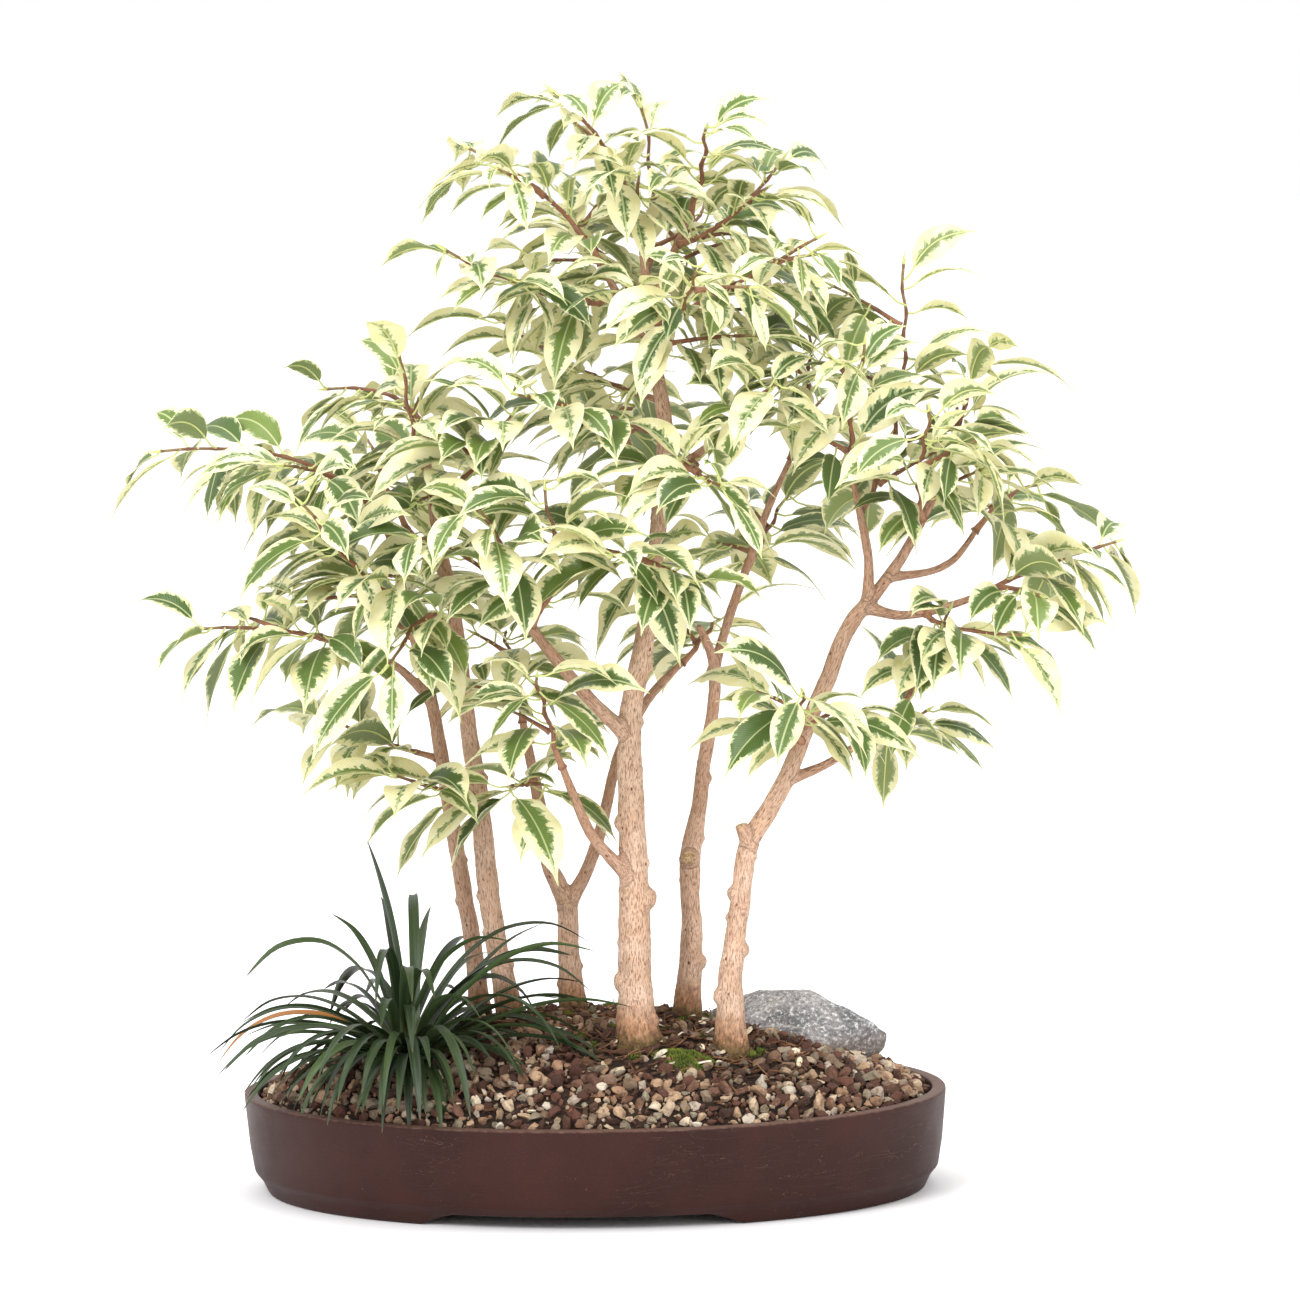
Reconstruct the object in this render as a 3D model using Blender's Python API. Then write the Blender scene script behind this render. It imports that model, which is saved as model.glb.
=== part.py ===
"""Potted weeping fig: a group planting of six variegated figs in a shallow oval tray.

Six slender trunks stand on a mound of gritty soil, with a stone at the right, a tuft of
dwarf mondo grass at the front left and moss at the roots. Metres, +Z up, front towards -Y.
Lists of places are in millimetres from the tray's centre; heights in them are above the table.
"""

import math
import random

import bmesh
import bpy
from mathutils import Matrix, Vector
from mathutils.bvhtree import BVHTree

MM = 0.001
GAP = 0.0004  # between pieces that rest on or in each other

# ---- tray -------------------------------------------------------------------------------
TRAY_LENGTH = 0.350
TRAY_WIDTH = 0.240
TRAY_HEIGHT = 0.050
TRAY_WALL = 0.0068  # at the rim
TRAY_FLOOR = 0.0055
TRAY_DRAFT = 0.0042  # how far the wall leans in above the ledge
LEDGE_HEIGHT = 0.007
LEDGE_IN = 0.0034
FOOT_HEIGHT = 0.0066
FOOT_LEAN = 0.0034
FOOT_WIDTH = 0.0125
ARCH_HEIGHT = 0.0056
ARCH_WIDTH = 0.125  # at the top of the arch
ARCH_FLARE = 0.0155  # how much wider each end is at the table
DRAIN_SPACING = 0.150
DRAIN_RADIUS = 0.009
OUTLINE_POINTS = 44

# ---- planting bed -----------------------------------------------------------------------
MESH_SIDE = 0.034
MESH_THICKNESS = 0.0012
MESH_HOLES = 3
SOIL_BELOW_RIM = 0.004
MOUND_RISE = 0.040
ROOT_DEPTH = 0.024
STONE_SIZE = (0.084, 0.042, 0.038)
STONE_PLACE = (0.595, 0.20)  # shares of the bed's half length and half width
STONE_SINK = 0.018
STONE_LEAN = 0.02  # how far its top falls to the right for each unit of length
TUFT_PLACE = (-0.52, -0.40)
TUFT_RADIUS = 0.0125
BLADE_LENGTH = 0.098
BLADE_WIDTH = 0.0046
BLADE_COUNT = 38
MOSS_THICKNESS = 0.0032
MOSS = {"moss_front": ((48, -59), 14, 9), "moss_rear": ((12, 34), 17, 10)}

# ---- trees: each stem is a list of (x, y, height, radius) -------------------------------
TREES = {
    "left_tree": [
        [(-59, 25, 82, 5.2), (-62, 24, 120, 4.5), (-69, 20, 169, 4.0), (-74, 16, 208, 3.7),
         (-79, 10, 244, 3.2), (-89, 4, 289, 2.6), (-97, 0, 327, 1.9)],
        [(-79, 10, 244, 2.6), (-95, 2, 262, 2.2), (-115, -12, 272, 1.6)],
    ],
    "slim_tree": [
        [(-41, 5, 80, 6.4), (-48, 5, 121, 5.4), (-52, 4, 154, 5.5), (-55, 2, 194, 4.7),
         (-59, 0, 225, 4.3), (-62, -4, 260, 3.8), (-66, -8, 300, 3.1), (-74, -10, 340, 2.4),
         (-77, -8, 377, 1.7)],
        [(-62, -4, 262, 2.8), (-66, -22, 278, 2.2), (-70, -38, 290, 1.7)],
        [(-66, -8, 302, 2.5), (-78, 14, 316, 2.1), (-92, 32, 328, 1.6)],
    ],
    "forked_tree": [
        [(-11, 15, 82, 6.4), (-13, 16, 116, 5.5), (-14, 18, 141, 5.2), (-22, 16, 159, 3.9),
         (-24, 14, 177, 3.6), (-28, 10, 203, 3.0), (-33, 4, 234, 2.0)],
        [(-14, 18, 139, 3.9), (-5, 22, 153, 3.4), (2, 27, 171, 3.1), (7, 32, 192, 2.9),
         (13, 36, 214, 2.7), (28, 40, 241, 2.4), (45, 44, 258, 1.7)],
    ],
    "main_tree": [
        [(25, -41, 76, 10.6), (24, -38, 108, 8.2), (24, -37, 140, 7.9), (24, -36, 164, 7.3),
         (23, -33, 199, 6.2), (23, -28, 239, 5.7), (29, -24, 270, 4.9), (33, -19, 296, 4.3),
         (38, -13, 335, 4.3), (41, -7, 368, 4.2), (40, -3, 390, 3.8), (36, 0, 413, 3.3),
         (33, 4, 442, 2.8), (30, 6, 474, 1.9)],
        [(23, -36, 160, 3.6), (6, -44, 181, 2.8), (-2, -50, 199, 2.4), (-9, -54, 219, 1.9)],
        [(22, -29, 230, 4.0), (5, -38, 249, 3.3), (-8, -46, 266, 3.1), (-21, -52, 284, 2.7),
         (-33, -56, 302, 1.9)],
        [(40, -8, 357, 3.4), (54, -14, 365, 2.8), (69, -22, 376, 1.9)],
        [(37, 0, 412, 2.7), (22, -6, 440, 2.2), (11, -12, 462, 1.6)],
        [(33, 4, 437, 2.4), (43, 10, 460, 2.0), (54, 14, 483, 1.5)],
        [(38, -12, 336, 3.0), (31, 18, 352, 2.5), (20, 40, 366, 1.8)],
    ],
    "knotted_tree": [
        [(46, 10, 84, 6.4), (49, 10, 119, 5.8), (49, 10, 139, 4.9), (49, 10, 164, 5.4),
         (54, 8, 190, 3.9), (56, 6, 208, 3.6), (60, 4, 228, 3.3), (63, 2, 250, 3.1),
         (62, 0, 266, 2.6), (56, -6, 282, 1.7)],
        [(62, 2, 257, 2.6), (71, 12, 286, 2.4), (80, 22, 311, 2.2), (91, 30, 340, 1.9),
         (101, 36, 361, 1.5)],
        [(49, 10, 163, 3.4), (49, 3, 165, 3.3)],
    ],
    "right_tree": [
        [(71, -40, 74, 7.6), (71, -39, 110, 6.2), (74, -37, 133, 5.2), (77, -36, 154, 5.0),
         (80, -34, 175, 4.8), (89, -32, 191, 4.6), (99, -30, 208, 4.4), (107, -27, 227, 4.1),
         (114, -24, 244, 4.0), (121, -22, 259, 4.0), (127, -20, 275, 4.0), (134, -18, 287, 4.0),
         (143, -16, 297, 3.4), (156, -10, 314, 2.8), (169, -4, 337, 2.3), (180, 0, 362, 1.7)],
        [(140, -16, 293, 3.0), (141, -22, 315, 2.4), (138, -26, 335, 2.1), (134, -28, 355, 1.6)],
        [(139, -17, 292, 3.0), (154, -20, 288, 2.4), (171, -24, 290, 2.2), (193, -26, 297, 1.7)],
        [(150, -13, 306, 2.3), (170, 0, 307, 2.0), (183, 8, 313, 1.8), (193, 14, 326, 1.4)],
        [(99, -30, 208, 3.0), (118, -20, 214, 2.3), (138, -14, 226, 1.9), (155, -10, 240, 1.4)],
        [(81, -34, 176, 3.4), (77, -36, 187, 3.0)],
    ],
}

# ---- leafy shoots: tree, stem, share of the way along it, and where the twig ends --------
SHOOTS = [
    ("left_tree", 0, 1.00, (-208, -16, 372)),
    ("left_tree", 1, 1.00, (-186, -36, 286)),
    ("left_tree", 0, 0.88, (-130, -78, 351)),
    ("left_tree", 0, 0.82, (-158, 58, 355)),
    ("left_tree", 0, 0.60, (-135, 18, 236)),
    ("slim_tree", 0, 1.00, (-128, 20, 399)),
    ("slim_tree", 0, 0.94, (-86, -34, 419)),
    ("slim_tree", 1, 1.00, (-90, -76, 272)),
    ("slim_tree", 0, 0.46, (-92, -34, 212)),
    ("slim_tree", 2, 1.00, (-116, 92, 367)),
    ("forked_tree", 0, 0.86, (-38, -34, 206)),
    ("forked_tree", 0, 1.00, (-46, 56, 272)),
    ("forked_tree", 1, 1.00, (60, 88, 274)),
    ("main_tree", 1, 1.00, (-18, -92, 268)),
    ("main_tree", 2, 1.00, (-76, -80, 335)),
    ("main_tree", 2, 0.80, (-12, -98, 359)),
    ("main_tree", 0, 0.60, (22, -108, 327)),
    ("main_tree", 3, 1.00, (100, -72, 407)),
    ("main_tree", 3, 0.60, (76, -102, 359)),
    ("main_tree", 0, 0.74, (-26, -78, 403)),
    ("main_tree", 4, 0.55, (-64, -24, 470)),
    ("main_tree", 4, 1.00, (-54, 4, 518)),
    ("main_tree", 0, 1.00, (-10, -14, 546)),
    ("main_tree", 0, 0.96, (30, 34, 536)),
    ("main_tree", 5, 1.00, (64, -26, 528)),
    ("main_tree", 5, 0.70, (100, 4, 510)),
    ("main_tree", 0, 0.90, (118, -34, 474)),
    ("main_tree", 0, 0.86, (64, -84, 464)),
    ("main_tree", 2, 0.90, (-46, -92, 352)),
    ("slim_tree", 0, 0.90, (-30, -64, 392)),
    ("main_tree", 0, 0.93, (-14, 76, 492)),
    ("main_tree", 5, 0.40, (58, 82, 486)),
    ("main_tree", 0, 0.80, (-48, 78, 429)),
    ("main_tree", 6, 1.00, (4, 112, 387)),
    ("knotted_tree", 1, 1.00, (112, 24, 423)),
    ("knotted_tree", 1, 0.50, (96, 88, 337)),
    ("right_tree", 1, 1.00, (142, -42, 423)),
    ("right_tree", 1, 0.75, (158, 14, 458)),
    ("right_tree", 0, 1.00, (196, 4, 415)),
    ("right_tree", 0, 0.93, (174, -74, 393)),
    ("right_tree", 2, 1.00, (262, -12, 322)),
    ("right_tree", 3, 1.00, (222, 46, 345)),
    ("right_tree", 2, 0.65, (216, -60, 282)),
    ("right_tree", 4, 1.00, (180, -36, 292)),
    ("right_tree", 4, 0.70, (168, 14, 236)),
    ("right_tree", 0, 0.50, (112, -96, 260)),
]
TRUNK_SIDES = 8
LIMB_SIDES = 6
TWIG_RADIUS = 0.0014
INTERNODE = 0.0098
SIDE_TWIG_SHARE = 0.42
PETIOLE = 0.0078
LEAF_LONG = 0.050  # low in the crown
LEAF_SHORT = 0.037  # at the top
LEAF_WIDTH_SHARE = 0.42
LEAF_THICKNESS = 0.0009
LEAF_ROOM = 0.0005  # kept clear round every leaf
LEAF_TRIES = 30


# ---- meshes, colours --------------------------------------------------------------------
def clear_scene():
    for old in list(bpy.data.objects):
        bpy.data.objects.remove(old, do_unlink=True)


def material(name, colour, roughness):
    made = bpy.data.materials.new(name)
    made.use_nodes = True
    shader = made.node_tree.nodes["Principled BSDF"]
    shader.inputs["Base Color"].default_value = (*colour, 1.0)
    shader.inputs["Roughness"].default_value = roughness
    shader.inputs["Metallic"].default_value = 0.0
    made.diffuse_color = (*colour, 1.0)
    return made


def object_from(name, shape, look, hidden=False):
    """A mesh object from (points, faces), faces pointing out."""
    points, faces = shape
    mesh = bpy.data.meshes.new(name)
    mesh.from_pydata([tuple(p) for p in points], [], faces)
    mesh.validate()
    if look:
        mesh.materials.append(look)
    made = bpy.data.objects.new(name, mesh)
    bpy.context.scene.collection.objects.link(made)
    if hidden:
        made.hide_render = True
        made.display_type = "WIRE"
    return made


def combine(target, other, operation):
    """A Boolean with another object, which is hidden as a cutter is."""
    step = target.modifiers.new(other.name, "BOOLEAN")
    step.operation = operation
    step.solver = "EXACT"
    step.object = other
    other.hide_render = True
    other.display_type = "WIRE"


def smooth(made, angle=35):
    made.data.shade_smooth()
    made.data.set_sharp_from_angle(angle=math.radians(angle))


def loft(rings):
    """A closed solid through rings of equally many points, listed so that its faces point out."""
    points = [p for ring in rings for p in ring]
    count = len(rings[0])
    faces = [tuple(reversed(range(count)))]
    for i in range(len(rings) - 1):
        low, high = i * count, (i + 1) * count
        for k in range(count):
            n = (k + 1) % count
            faces.append((low + k, low + n, high + n, high + k))
    last = (len(rings) - 1) * count
    faces.append(tuple(range(last, last + count)))
    return points, faces


def oval(half_length, half_width, height, count=OUTLINE_POINTS):
    turns = [math.tau * k / count for k in range(count)]
    return [Vector((half_length * math.cos(t), half_width * math.sin(t), height)) for t in turns]


def outline_at(inset, height):
    """The tray's oval, moved in from the rim's outline."""
    return oval(TRAY_LENGTH / 2 - inset, TRAY_WIDTH / 2 - inset, height)


# ---- stems, twigs and leaves ------------------------------------------------------------
def through(knots, steps):
    """A smooth run of (point, radius) through knots given in millimetres."""
    places = [Vector(k[:3]) * MM for k in knots]
    radii = [k[3] * MM for k in knots]
    run = []
    for i in range(len(places) - 1):
        a = places[max(i - 1, 0)]
        b, c = places[i], places[i + 1]
        d = places[min(i + 2, len(places) - 1)]
        for s in range(steps):
            t = s / steps
            point = 0.5 * (2 * b + (c - a) * t + (2 * a - 5 * b + 4 * c - d) * t**2
                           + (3 * b - a - 3 * c + d) * t**3)
            run.append((point, radii[i] + (radii[i + 1] - radii[i]) * t))
    run.append((places[-1], radii[-1]))
    return run


def direction_at(run, i):
    return (run[min(i + 1, len(run) - 1)][0] - run[max(i - 1, 0)][0]).normalized()


def tube_rings(run, sides, first_direction=None):
    """Rings round a run, each turned as little as possible from the one before."""
    rings = []
    across = None
    for i, (centre, radius) in enumerate(run):
        along = first_direction if i == 0 and first_direction else direction_at(run, i)
        if across is None:
            across = along.orthogonal()
        across = (across - along * across.dot(along)).normalized()
        other = along.cross(across)
        turns = [math.tau * k / sides for k in range(sides)]
        rings.append([centre + radius * (across * math.cos(t) + other * math.sin(t)) for t in turns])
    return rings


def tube(run, sides):
    return loft(tube_rings(run, sides))


class Crowded:
    """Remembers every stem, twig and leaf that has its place, and says if a new one is free."""

    def __init__(self):
        self.grown = []

    @staticmethod
    def box(points):
        low = [min(p[i] for p in points) for i in range(3)]
        high = [max(p[i] for p in points) for i in range(3)]
        return low, high

    def add(self, points, faces):
        self.grown.append((self.box(points), BVHTree.FromPolygons(points, faces)))

    def is_free(self, points, faces):
        low, high = self.box(points)
        near = [
            tree for (a, b), tree in self.grown
            if all(a[i] <= high[i] and low[i] <= b[i] for i in range(3))
        ]
        if not near:
            return True
        own = BVHTree.FromPolygons(points, faces)
        return not any(own.overlap(tree) for tree in near)


def twig_run(start, out, end):
    """A twig's centre line: straight out of the stem, then arching to its end."""
    length = (end - start).length
    count = max(3, round(length / INTERNODE))
    bend = start + out * 0.3 * length + (end - start) * 0.15 + Vector((0, 0, 0.08 * length))
    run = [(start, TWIG_RADIUS)]
    for i in range(1, count + 1):
        t = i / count
        point = start * (1 - t) ** 2 + bend * 2 * t * (1 - t) + end * t**2
        side = (end - start).cross(Vector((0, 0, 1)))
        if side.length > 0:
            point = point + side.normalized() * (0.0009 if i % 2 else -0.0009)
        run.append((point, TWIG_RADIUS * (1 - 0.5 * t)))
    return run


def matched(ring, corners):
    """The corners of the next ring of three, in the order that lies closest to this ring."""
    turns = [corners[k:] + corners[:k] for k in range(3)]
    return min(turns, key=lambda turn: sum((a - b).length for a, b in zip(ring, turn)))


def folds(ring, corners):
    """Whether a skin from a ring of three to the next would turn inside out somewhere."""
    upper = matched(ring, corners)
    middle = sum(ring + upper, Vector()) / 6
    walls = []
    for k in range(3):
        n = (k + 1) % 3
        walls += [(ring[k], ring[n], upper[n]), (ring[k], upper[n], upper[k])]
    return any((b - a).cross(c - a).dot(a - middle) <= 0 for a, b, c in walls)


class Shoot:
    """One twig with its side twigs and leaves: a closed skin grown from one base ring."""

    def __init__(self, run, first_direction):
        self.points = []
        self.faces = []
        self.sides = {}
        self.leaves = []
        self.twigs = []
        self.start(run, first_direction)

    def start(self, run, first_direction):
        rings = tube_rings(run, 3, first_direction)
        base = self.put(rings[0])
        self.faces.append(tuple(reversed(base)))
        self.climb(base, run, rings, 0)

    def put(self, ring):
        self.points += ring
        return list(range(len(self.points) - len(ring), len(self.points)))

    def climb(self, base, run, rings, name):
        """Twig walls from the base ring to a closed end; each wall is two triangles."""
        self.twigs.append(run)
        ring = base
        for i in range(1, len(run)):
            upper = self.put(rings[i])
            for k in range(3):
                n = (k + 1) % 3
                self.wall(name, i, (ring[k], ring[n], upper[n]))
                self.wall(name, i, (ring[k], upper[n], upper[k]))
            ring = upper
        self.faces.append(tuple(ring))

    def wall(self, name, i, face):
        self.faces.append(face)
        self.sides.setdefault((name, i), []).append(face)

    def socket(self, name, i, out):
        """The free wall triangle of that stretch which faces out the most."""
        free = [f for f in self.sides.get((name, i), []) if f in self.faces]

        def facing(face):
            a, b, c = (self.points[v] for v in face)
            return (b - a).cross(c - a).normalized().dot(out)

        return max(free, key=facing)

    def centre(self, face):
        return sum((self.points[v] for v in face), Vector()) / 3

    def raise_ring(self, ring, corners):
        """Skins from a ring of three to new corners, matched so that it isn't twisted."""
        upper = self.put(matched([self.points[v] for v in ring], corners))
        for k in range(3):
            n = (k + 1) % 3
            self.faces.append((ring[k], ring[n], upper[n]))
            self.faces.append((ring[k], upper[n], upper[k]))
        return upper

    def grow_leaf(self, face, leaf):
        self.faces.remove(face)
        ring = self.raise_ring(list(face), leaf["collar"])
        ring = self.raise_ring(ring, leaf["middle"])
        self.points.append(leaf["tip"])
        tip = len(self.points) - 1
        for k in range(3):
            self.faces.append((ring[k], ring[(k + 1) % 3], tip))
        self.leaves.append(leaf)

    def grow_side_twig(self, face, run, name):
        self.faces.remove(face)
        rings = tube_rings(run, 3)
        base = self.raise_ring(list(face), rings[0])
        self.climb(base, run, rings, name)


def leaf_shape(root, along, up, length, petiole):
    """A leaf's corners: a thin petiole, the widest place of the blade and its drip tip."""
    normal = (up - along * up.dot(along)).normalized()
    across = normal.cross(along)
    base = root + along * petiole
    middle = base + along * 0.42 * length
    fall = (along - Vector((0, 0, 0.6))).normalized()
    half = LEAF_WIDTH_SHARE * length / 2
    return {
        "root": root,
        "base": base,
        "across": across,
        "normal": normal,
        "collar": [base + across * 0.0007, base - across * 0.0007, base - normal * 0.0008],
        "middle": [middle + across * half, middle - across * half, middle - normal * LEAF_THICKNESS],
        "centre": middle,
        "tip": middle + fall * 0.58 * length,
        "half": half,
    }


def web_of(corners, ring, share):
    """The skin between a wall triangle and the first ring grown from it, clear of the wall by share."""
    middle = sum(ring, Vector()) / 3
    near = [corner.lerp(middle, share) for corner in corners]
    return loft([near, matched(near, ring)])


def both(first, second):
    """Two shapes as one list of points and faces."""
    shift = len(first[0])
    return first[0] + second[0], first[1] + [tuple(v + shift for v in f) for f in second[1]]


def room_for(leaf, root):
    """The leaf with the room that it needs, from a third of its petiole outwards."""
    across, normal, room = leaf["across"], leaf["normal"], LEAF_ROOM
    rings = [root + (leaf["base"] - root) * 0.4, leaf["base"], leaf["centre"]]
    halves = (0.0009, 0.0007 + room, leaf["half"] + room)
    points = []
    for centre, half in zip(rings, halves):
        points += [centre + across * half, centre + normal * room * 1.2,
                   centre - across * half, centre - normal * (LEAF_THICKNESS + room)]
    points.append(leaf["tip"] + (leaf["tip"] - leaf["centre"]).normalized() * room)
    faces = [(0, 3, 2, 1)]
    for low in (0, 4):
        for k in range(4):
            n = (k + 1) % 4
            faces.append((low + k, low + n, low + 4 + n, low + 4 + k))
    faces += [(8 + k, 8 + (k + 1) % 4, 12) for k in range(4)]
    return points, faces


def leaf_length(height, rng):
    """Leaves are long low down, where they are old, and short at the top."""
    share = min(max((height - 0.22) / 0.28, 0), 1)
    return (LEAF_LONG + (LEAF_SHORT - LEAF_LONG) * share) * rng.uniform(0.72, 1.2)


def add_leaves(shoot, name, run, crowded, rng, first):
    """One leaf at each node, on alternate sides, wherever there is room for it."""
    side = rng.choice((-1, 1))
    for i in range(first, len(run)):
        side = -side
        along = direction_at(run, i)
        level = along.cross(Vector((0, 0, 1)))
        level = level.normalized() if level.length > 0.1 else Vector((side, 0, 0))
        ends = i == len(run) - 1
        for attempt in range(LEAF_TRIES):
            lean = rng.uniform(-0.5, 0.6)
            out = (level * side * rng.uniform(0.6, 1.1) + Vector((0, 0, lean))).normalized()
            forward = 1.3 if ends else rng.uniform(0.1, 0.75)
            droop = rng.uniform(-0.1, 0.85) + (0.3 if ends else 0)
            aim = (along * forward + out - Vector((0, 0, droop))).normalized()
            face = shoot.socket(name, i, (aim + out).normalized())
            root = shoot.centre(face)
            away = Vector((root.x, root.y, 0)) * 4
            up = Vector((rng.uniform(-0.35, 0.35), rng.uniform(-0.35, 0.35), 0.9)) + away
            length = leaf_length(root.z, rng) * (1 - 0.012 * attempt)
            leaf = leaf_shape(root, aim, up, length, PETIOLE * rng.uniform(0.85, 1.3))
            room = room_for(leaf, root)
            wall = [shoot.points[v] for v in face]
            web = web_of(wall, leaf["collar"], 0.22)
            if not folds(wall, leaf["collar"]) and crowded.is_free(*both(web, room)):
                shoot.grow_leaf(face, leaf)
                crowded.add(*both(web_of(wall, leaf["collar"], 0), room))
                break
            side = -side if attempt % 2 else side


def add_side_twigs(shoot, run, crowded, rng):
    """Short twigs from every third node, swept forward and a little up."""
    made = []
    length = (run[-1][0] - run[0][0]).length
    side = rng.choice((-1, 1))
    for i in range(2, len(run) - 2, 3):
        side = -side
        along = direction_at(run, i)
        level = along.cross(Vector((0, 0, 1)))
        level = level.normalized() if level.length > 0.1 else Vector((side, 0, 0))
        reach = length * SIDE_TWIG_SHARE * (1 - 0.4 * i / len(run)) * rng.uniform(0.8, 1.2)
        for attempt in range(LEAF_TRIES):
            tilt = rng.uniform(-0.3, 0.6)
            aim = (along * 0.7 + level * side + Vector((0, 0, tilt))).normalized()
            face = shoot.socket(0, i, aim)
            start = shoot.centre(face) + aim * 0.0035
            steps = max(2, round(reach / (INTERNODE * 1.25)))
            side_run = [
                (start + aim * reach * k / steps - Vector((0, 0, 0.1 * reach * (k / steps) ** 2)),
                 TWIG_RADIUS * (0.75 - 0.3 * k / steps))
                for k in range(steps + 1)
            ]
            room = tube([(p, r + LEAF_ROOM) for p, r in side_run], 3)
            wall = [shoot.points[v] for v in face]
            base = tube_rings(side_run, 3)[0]
            if not folds(wall, base) and crowded.is_free(*both(web_of(wall, base, 0.22), room)):
                made.append((len(made) + 1, side_run))
                shoot.grow_side_twig(face, side_run, len(made))
                crowded.add(*both(web_of(wall, base, 0), room))
                break
            side = -side
    return made


def stem_run(tree, index):
    knots = list(TREES[tree][index])
    if index == 0:
        x, y, _, radius = knots[0]
        foot = mound(x * MM, y * MM) - ROOT_DEPTH
        knots.insert(0, (x, y, foot / MM, radius * 0.92))
    return through(knots, 2)


def place_on(run, share):
    """The point, radius and direction that share of the way along a run's knots."""
    at = share * (len(run) - 1)
    i = min(int(at), len(run) - 2)
    t = at - i
    point = run[i][0].lerp(run[i + 1][0], t)
    radius = run[i][1] + (run[i + 1][1] - run[i][1]) * t
    return point, radius, (run[i + 1][0] - run[i][0]).normalized()


def main_twig(tree, index, share, end, crowded):
    """A shoot's main twig, swung aside in steps where another stem is in its way."""
    centre, radius, along = place_on(stem_run(tree, index), share)
    target = Vector(end) * MM
    if share == 1:
        out = along
        start = centre + out * GAP
    else:
        out = target - centre
        out = (out - along * out.dot(along)).normalized()
        start = centre + out * (radius + GAP)
    for swing in (0, 8, -8, 16, -16, 24, -24, 32, -32):
        aside = (target - start).cross(Vector((0, 0, 1))).normalized()
        run = twig_run(start, out, target + aside * swing * MM)
        room = tube([(p + (out * 0.002 if k == 0 else Vector()), r + LEAF_ROOM)
                     for k, (p, r) in enumerate(run)], 3)
        if crowded.is_free(*room):
            break
    else:
        print("no free way for a twig of", tree, index, share)
    crowded.add(*room)
    return run, out


def grow_shoots(crowded):
    """Every shoot: all main twigs first, then side twigs, then leaves, so that none cross."""
    rng = random.Random(43)
    shoots = []
    for tree, index, share, end in SHOOTS:
        run, out = main_twig(tree, index, share, end, crowded)
        shoots.append((tree, Shoot(run, out)))
    sides = [add_side_twigs(shoot, shoot.twigs[0], crowded, rng) for _, shoot in shoots]
    for (_, shoot), twigs in zip(shoots, sides):
        add_leaves(shoot, 0, shoot.twigs[0], crowded, rng, 2)
        for name, run in twigs:
            add_leaves(shoot, name, run, crowded, rng, 1)
    return shoots


# ---- tray -------------------------------------------------------------------------------
def tray_shape():
    """The bowl in one loft: underside, foot, outer wall, rim, inner wall and floor."""
    lean = LEDGE_IN + TRAY_DRAFT
    foot_in = lean + FOOT_LEAN
    inner = TRAY_WALL + TRAY_DRAFT
    floor = FOOT_HEIGHT + TRAY_FLOOR
    profile = [
        (foot_in + FOOT_WIDTH + 0.03, FOOT_HEIGHT),
        (foot_in + FOOT_WIDTH + 0.001, FOOT_HEIGHT),
        (foot_in + FOOT_WIDTH, 0),
        (foot_in + 0.0008, 0),
        (foot_in, 0.0008),
        (lean, LEDGE_HEIGHT),
        (TRAY_DRAFT, LEDGE_HEIGHT + 0.004),
        (TRAY_DRAFT * 0.5, TRAY_HEIGHT * 0.48),
        (0, TRAY_HEIGHT - 0.004),
        (0, TRAY_HEIGHT - 0.0014),
        (0.0014, TRAY_HEIGHT),
        (TRAY_WALL - 0.0014, TRAY_HEIGHT),
        (TRAY_WALL, TRAY_HEIGHT - 0.0014),
        (inner, floor + 0.008),
        (inner + 0.006, floor),
        (inner + 0.04, floor),
    ]
    return loft([outline_at(inset, height) for inset, height in profile])


def block(low, high):
    """A box with its faces pointing out."""
    (x0, y0, z0), (x1, y1, z1) = low, high
    return loft([
        [Vector((x0, y0, z)), Vector((x1, y0, z)), Vector((x1, y1, z)), Vector((x0, y1, z))]
        for z in (z0, z1)
    ])


def round_post(centre, radius, low, high, sides=20):
    ring = [
        centre + radius * Vector((math.cos(math.tau * k / sides), math.sin(math.tau * k / sides), 0))
        for k in range(sides)
    ]
    return loft([[Vector((p.x, p.y, z)) for p in ring] for z in (low, high)])


def arch_cutter():
    """A bar with sloped ends that opens the foot at the front and the back."""
    half = ARCH_WIDTH / 2
    reach = TRAY_WIDTH
    rings = []
    for y in (reach, -reach):
        rings.append([
            Vector((-half - ARCH_FLARE, y, -0.001)),
            Vector((half + ARCH_FLARE, y, -0.001)),
            Vector((half + ARCH_FLARE * 0.35, y, ARCH_HEIGHT * 0.55)),
            Vector((half, y, ARCH_HEIGHT)),
            Vector((-half, y, ARCH_HEIGHT)),
            Vector((-half - ARCH_FLARE * 0.35, y, ARCH_HEIGHT * 0.55)),
        ])
    return loft(rings)


def drain_centres():
    return [Vector((sign * DRAIN_SPACING / 2, 0, 0)) for sign in (-1, 1)]


def build_tray(look):
    tray = object_from("tray", tray_shape(), look)
    combine(tray, object_from("arch_cutter", arch_cutter(), None), "DIFFERENCE")
    for i, centre in enumerate(drain_centres()):
        post = round_post(centre, DRAIN_RADIUS, -0.01, FOOT_HEIGHT + TRAY_FLOOR + 0.01)
        combine(tray, object_from(f"drain_cutter_{i}", post, None), "DIFFERENCE")
    smooth(tray)


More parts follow.
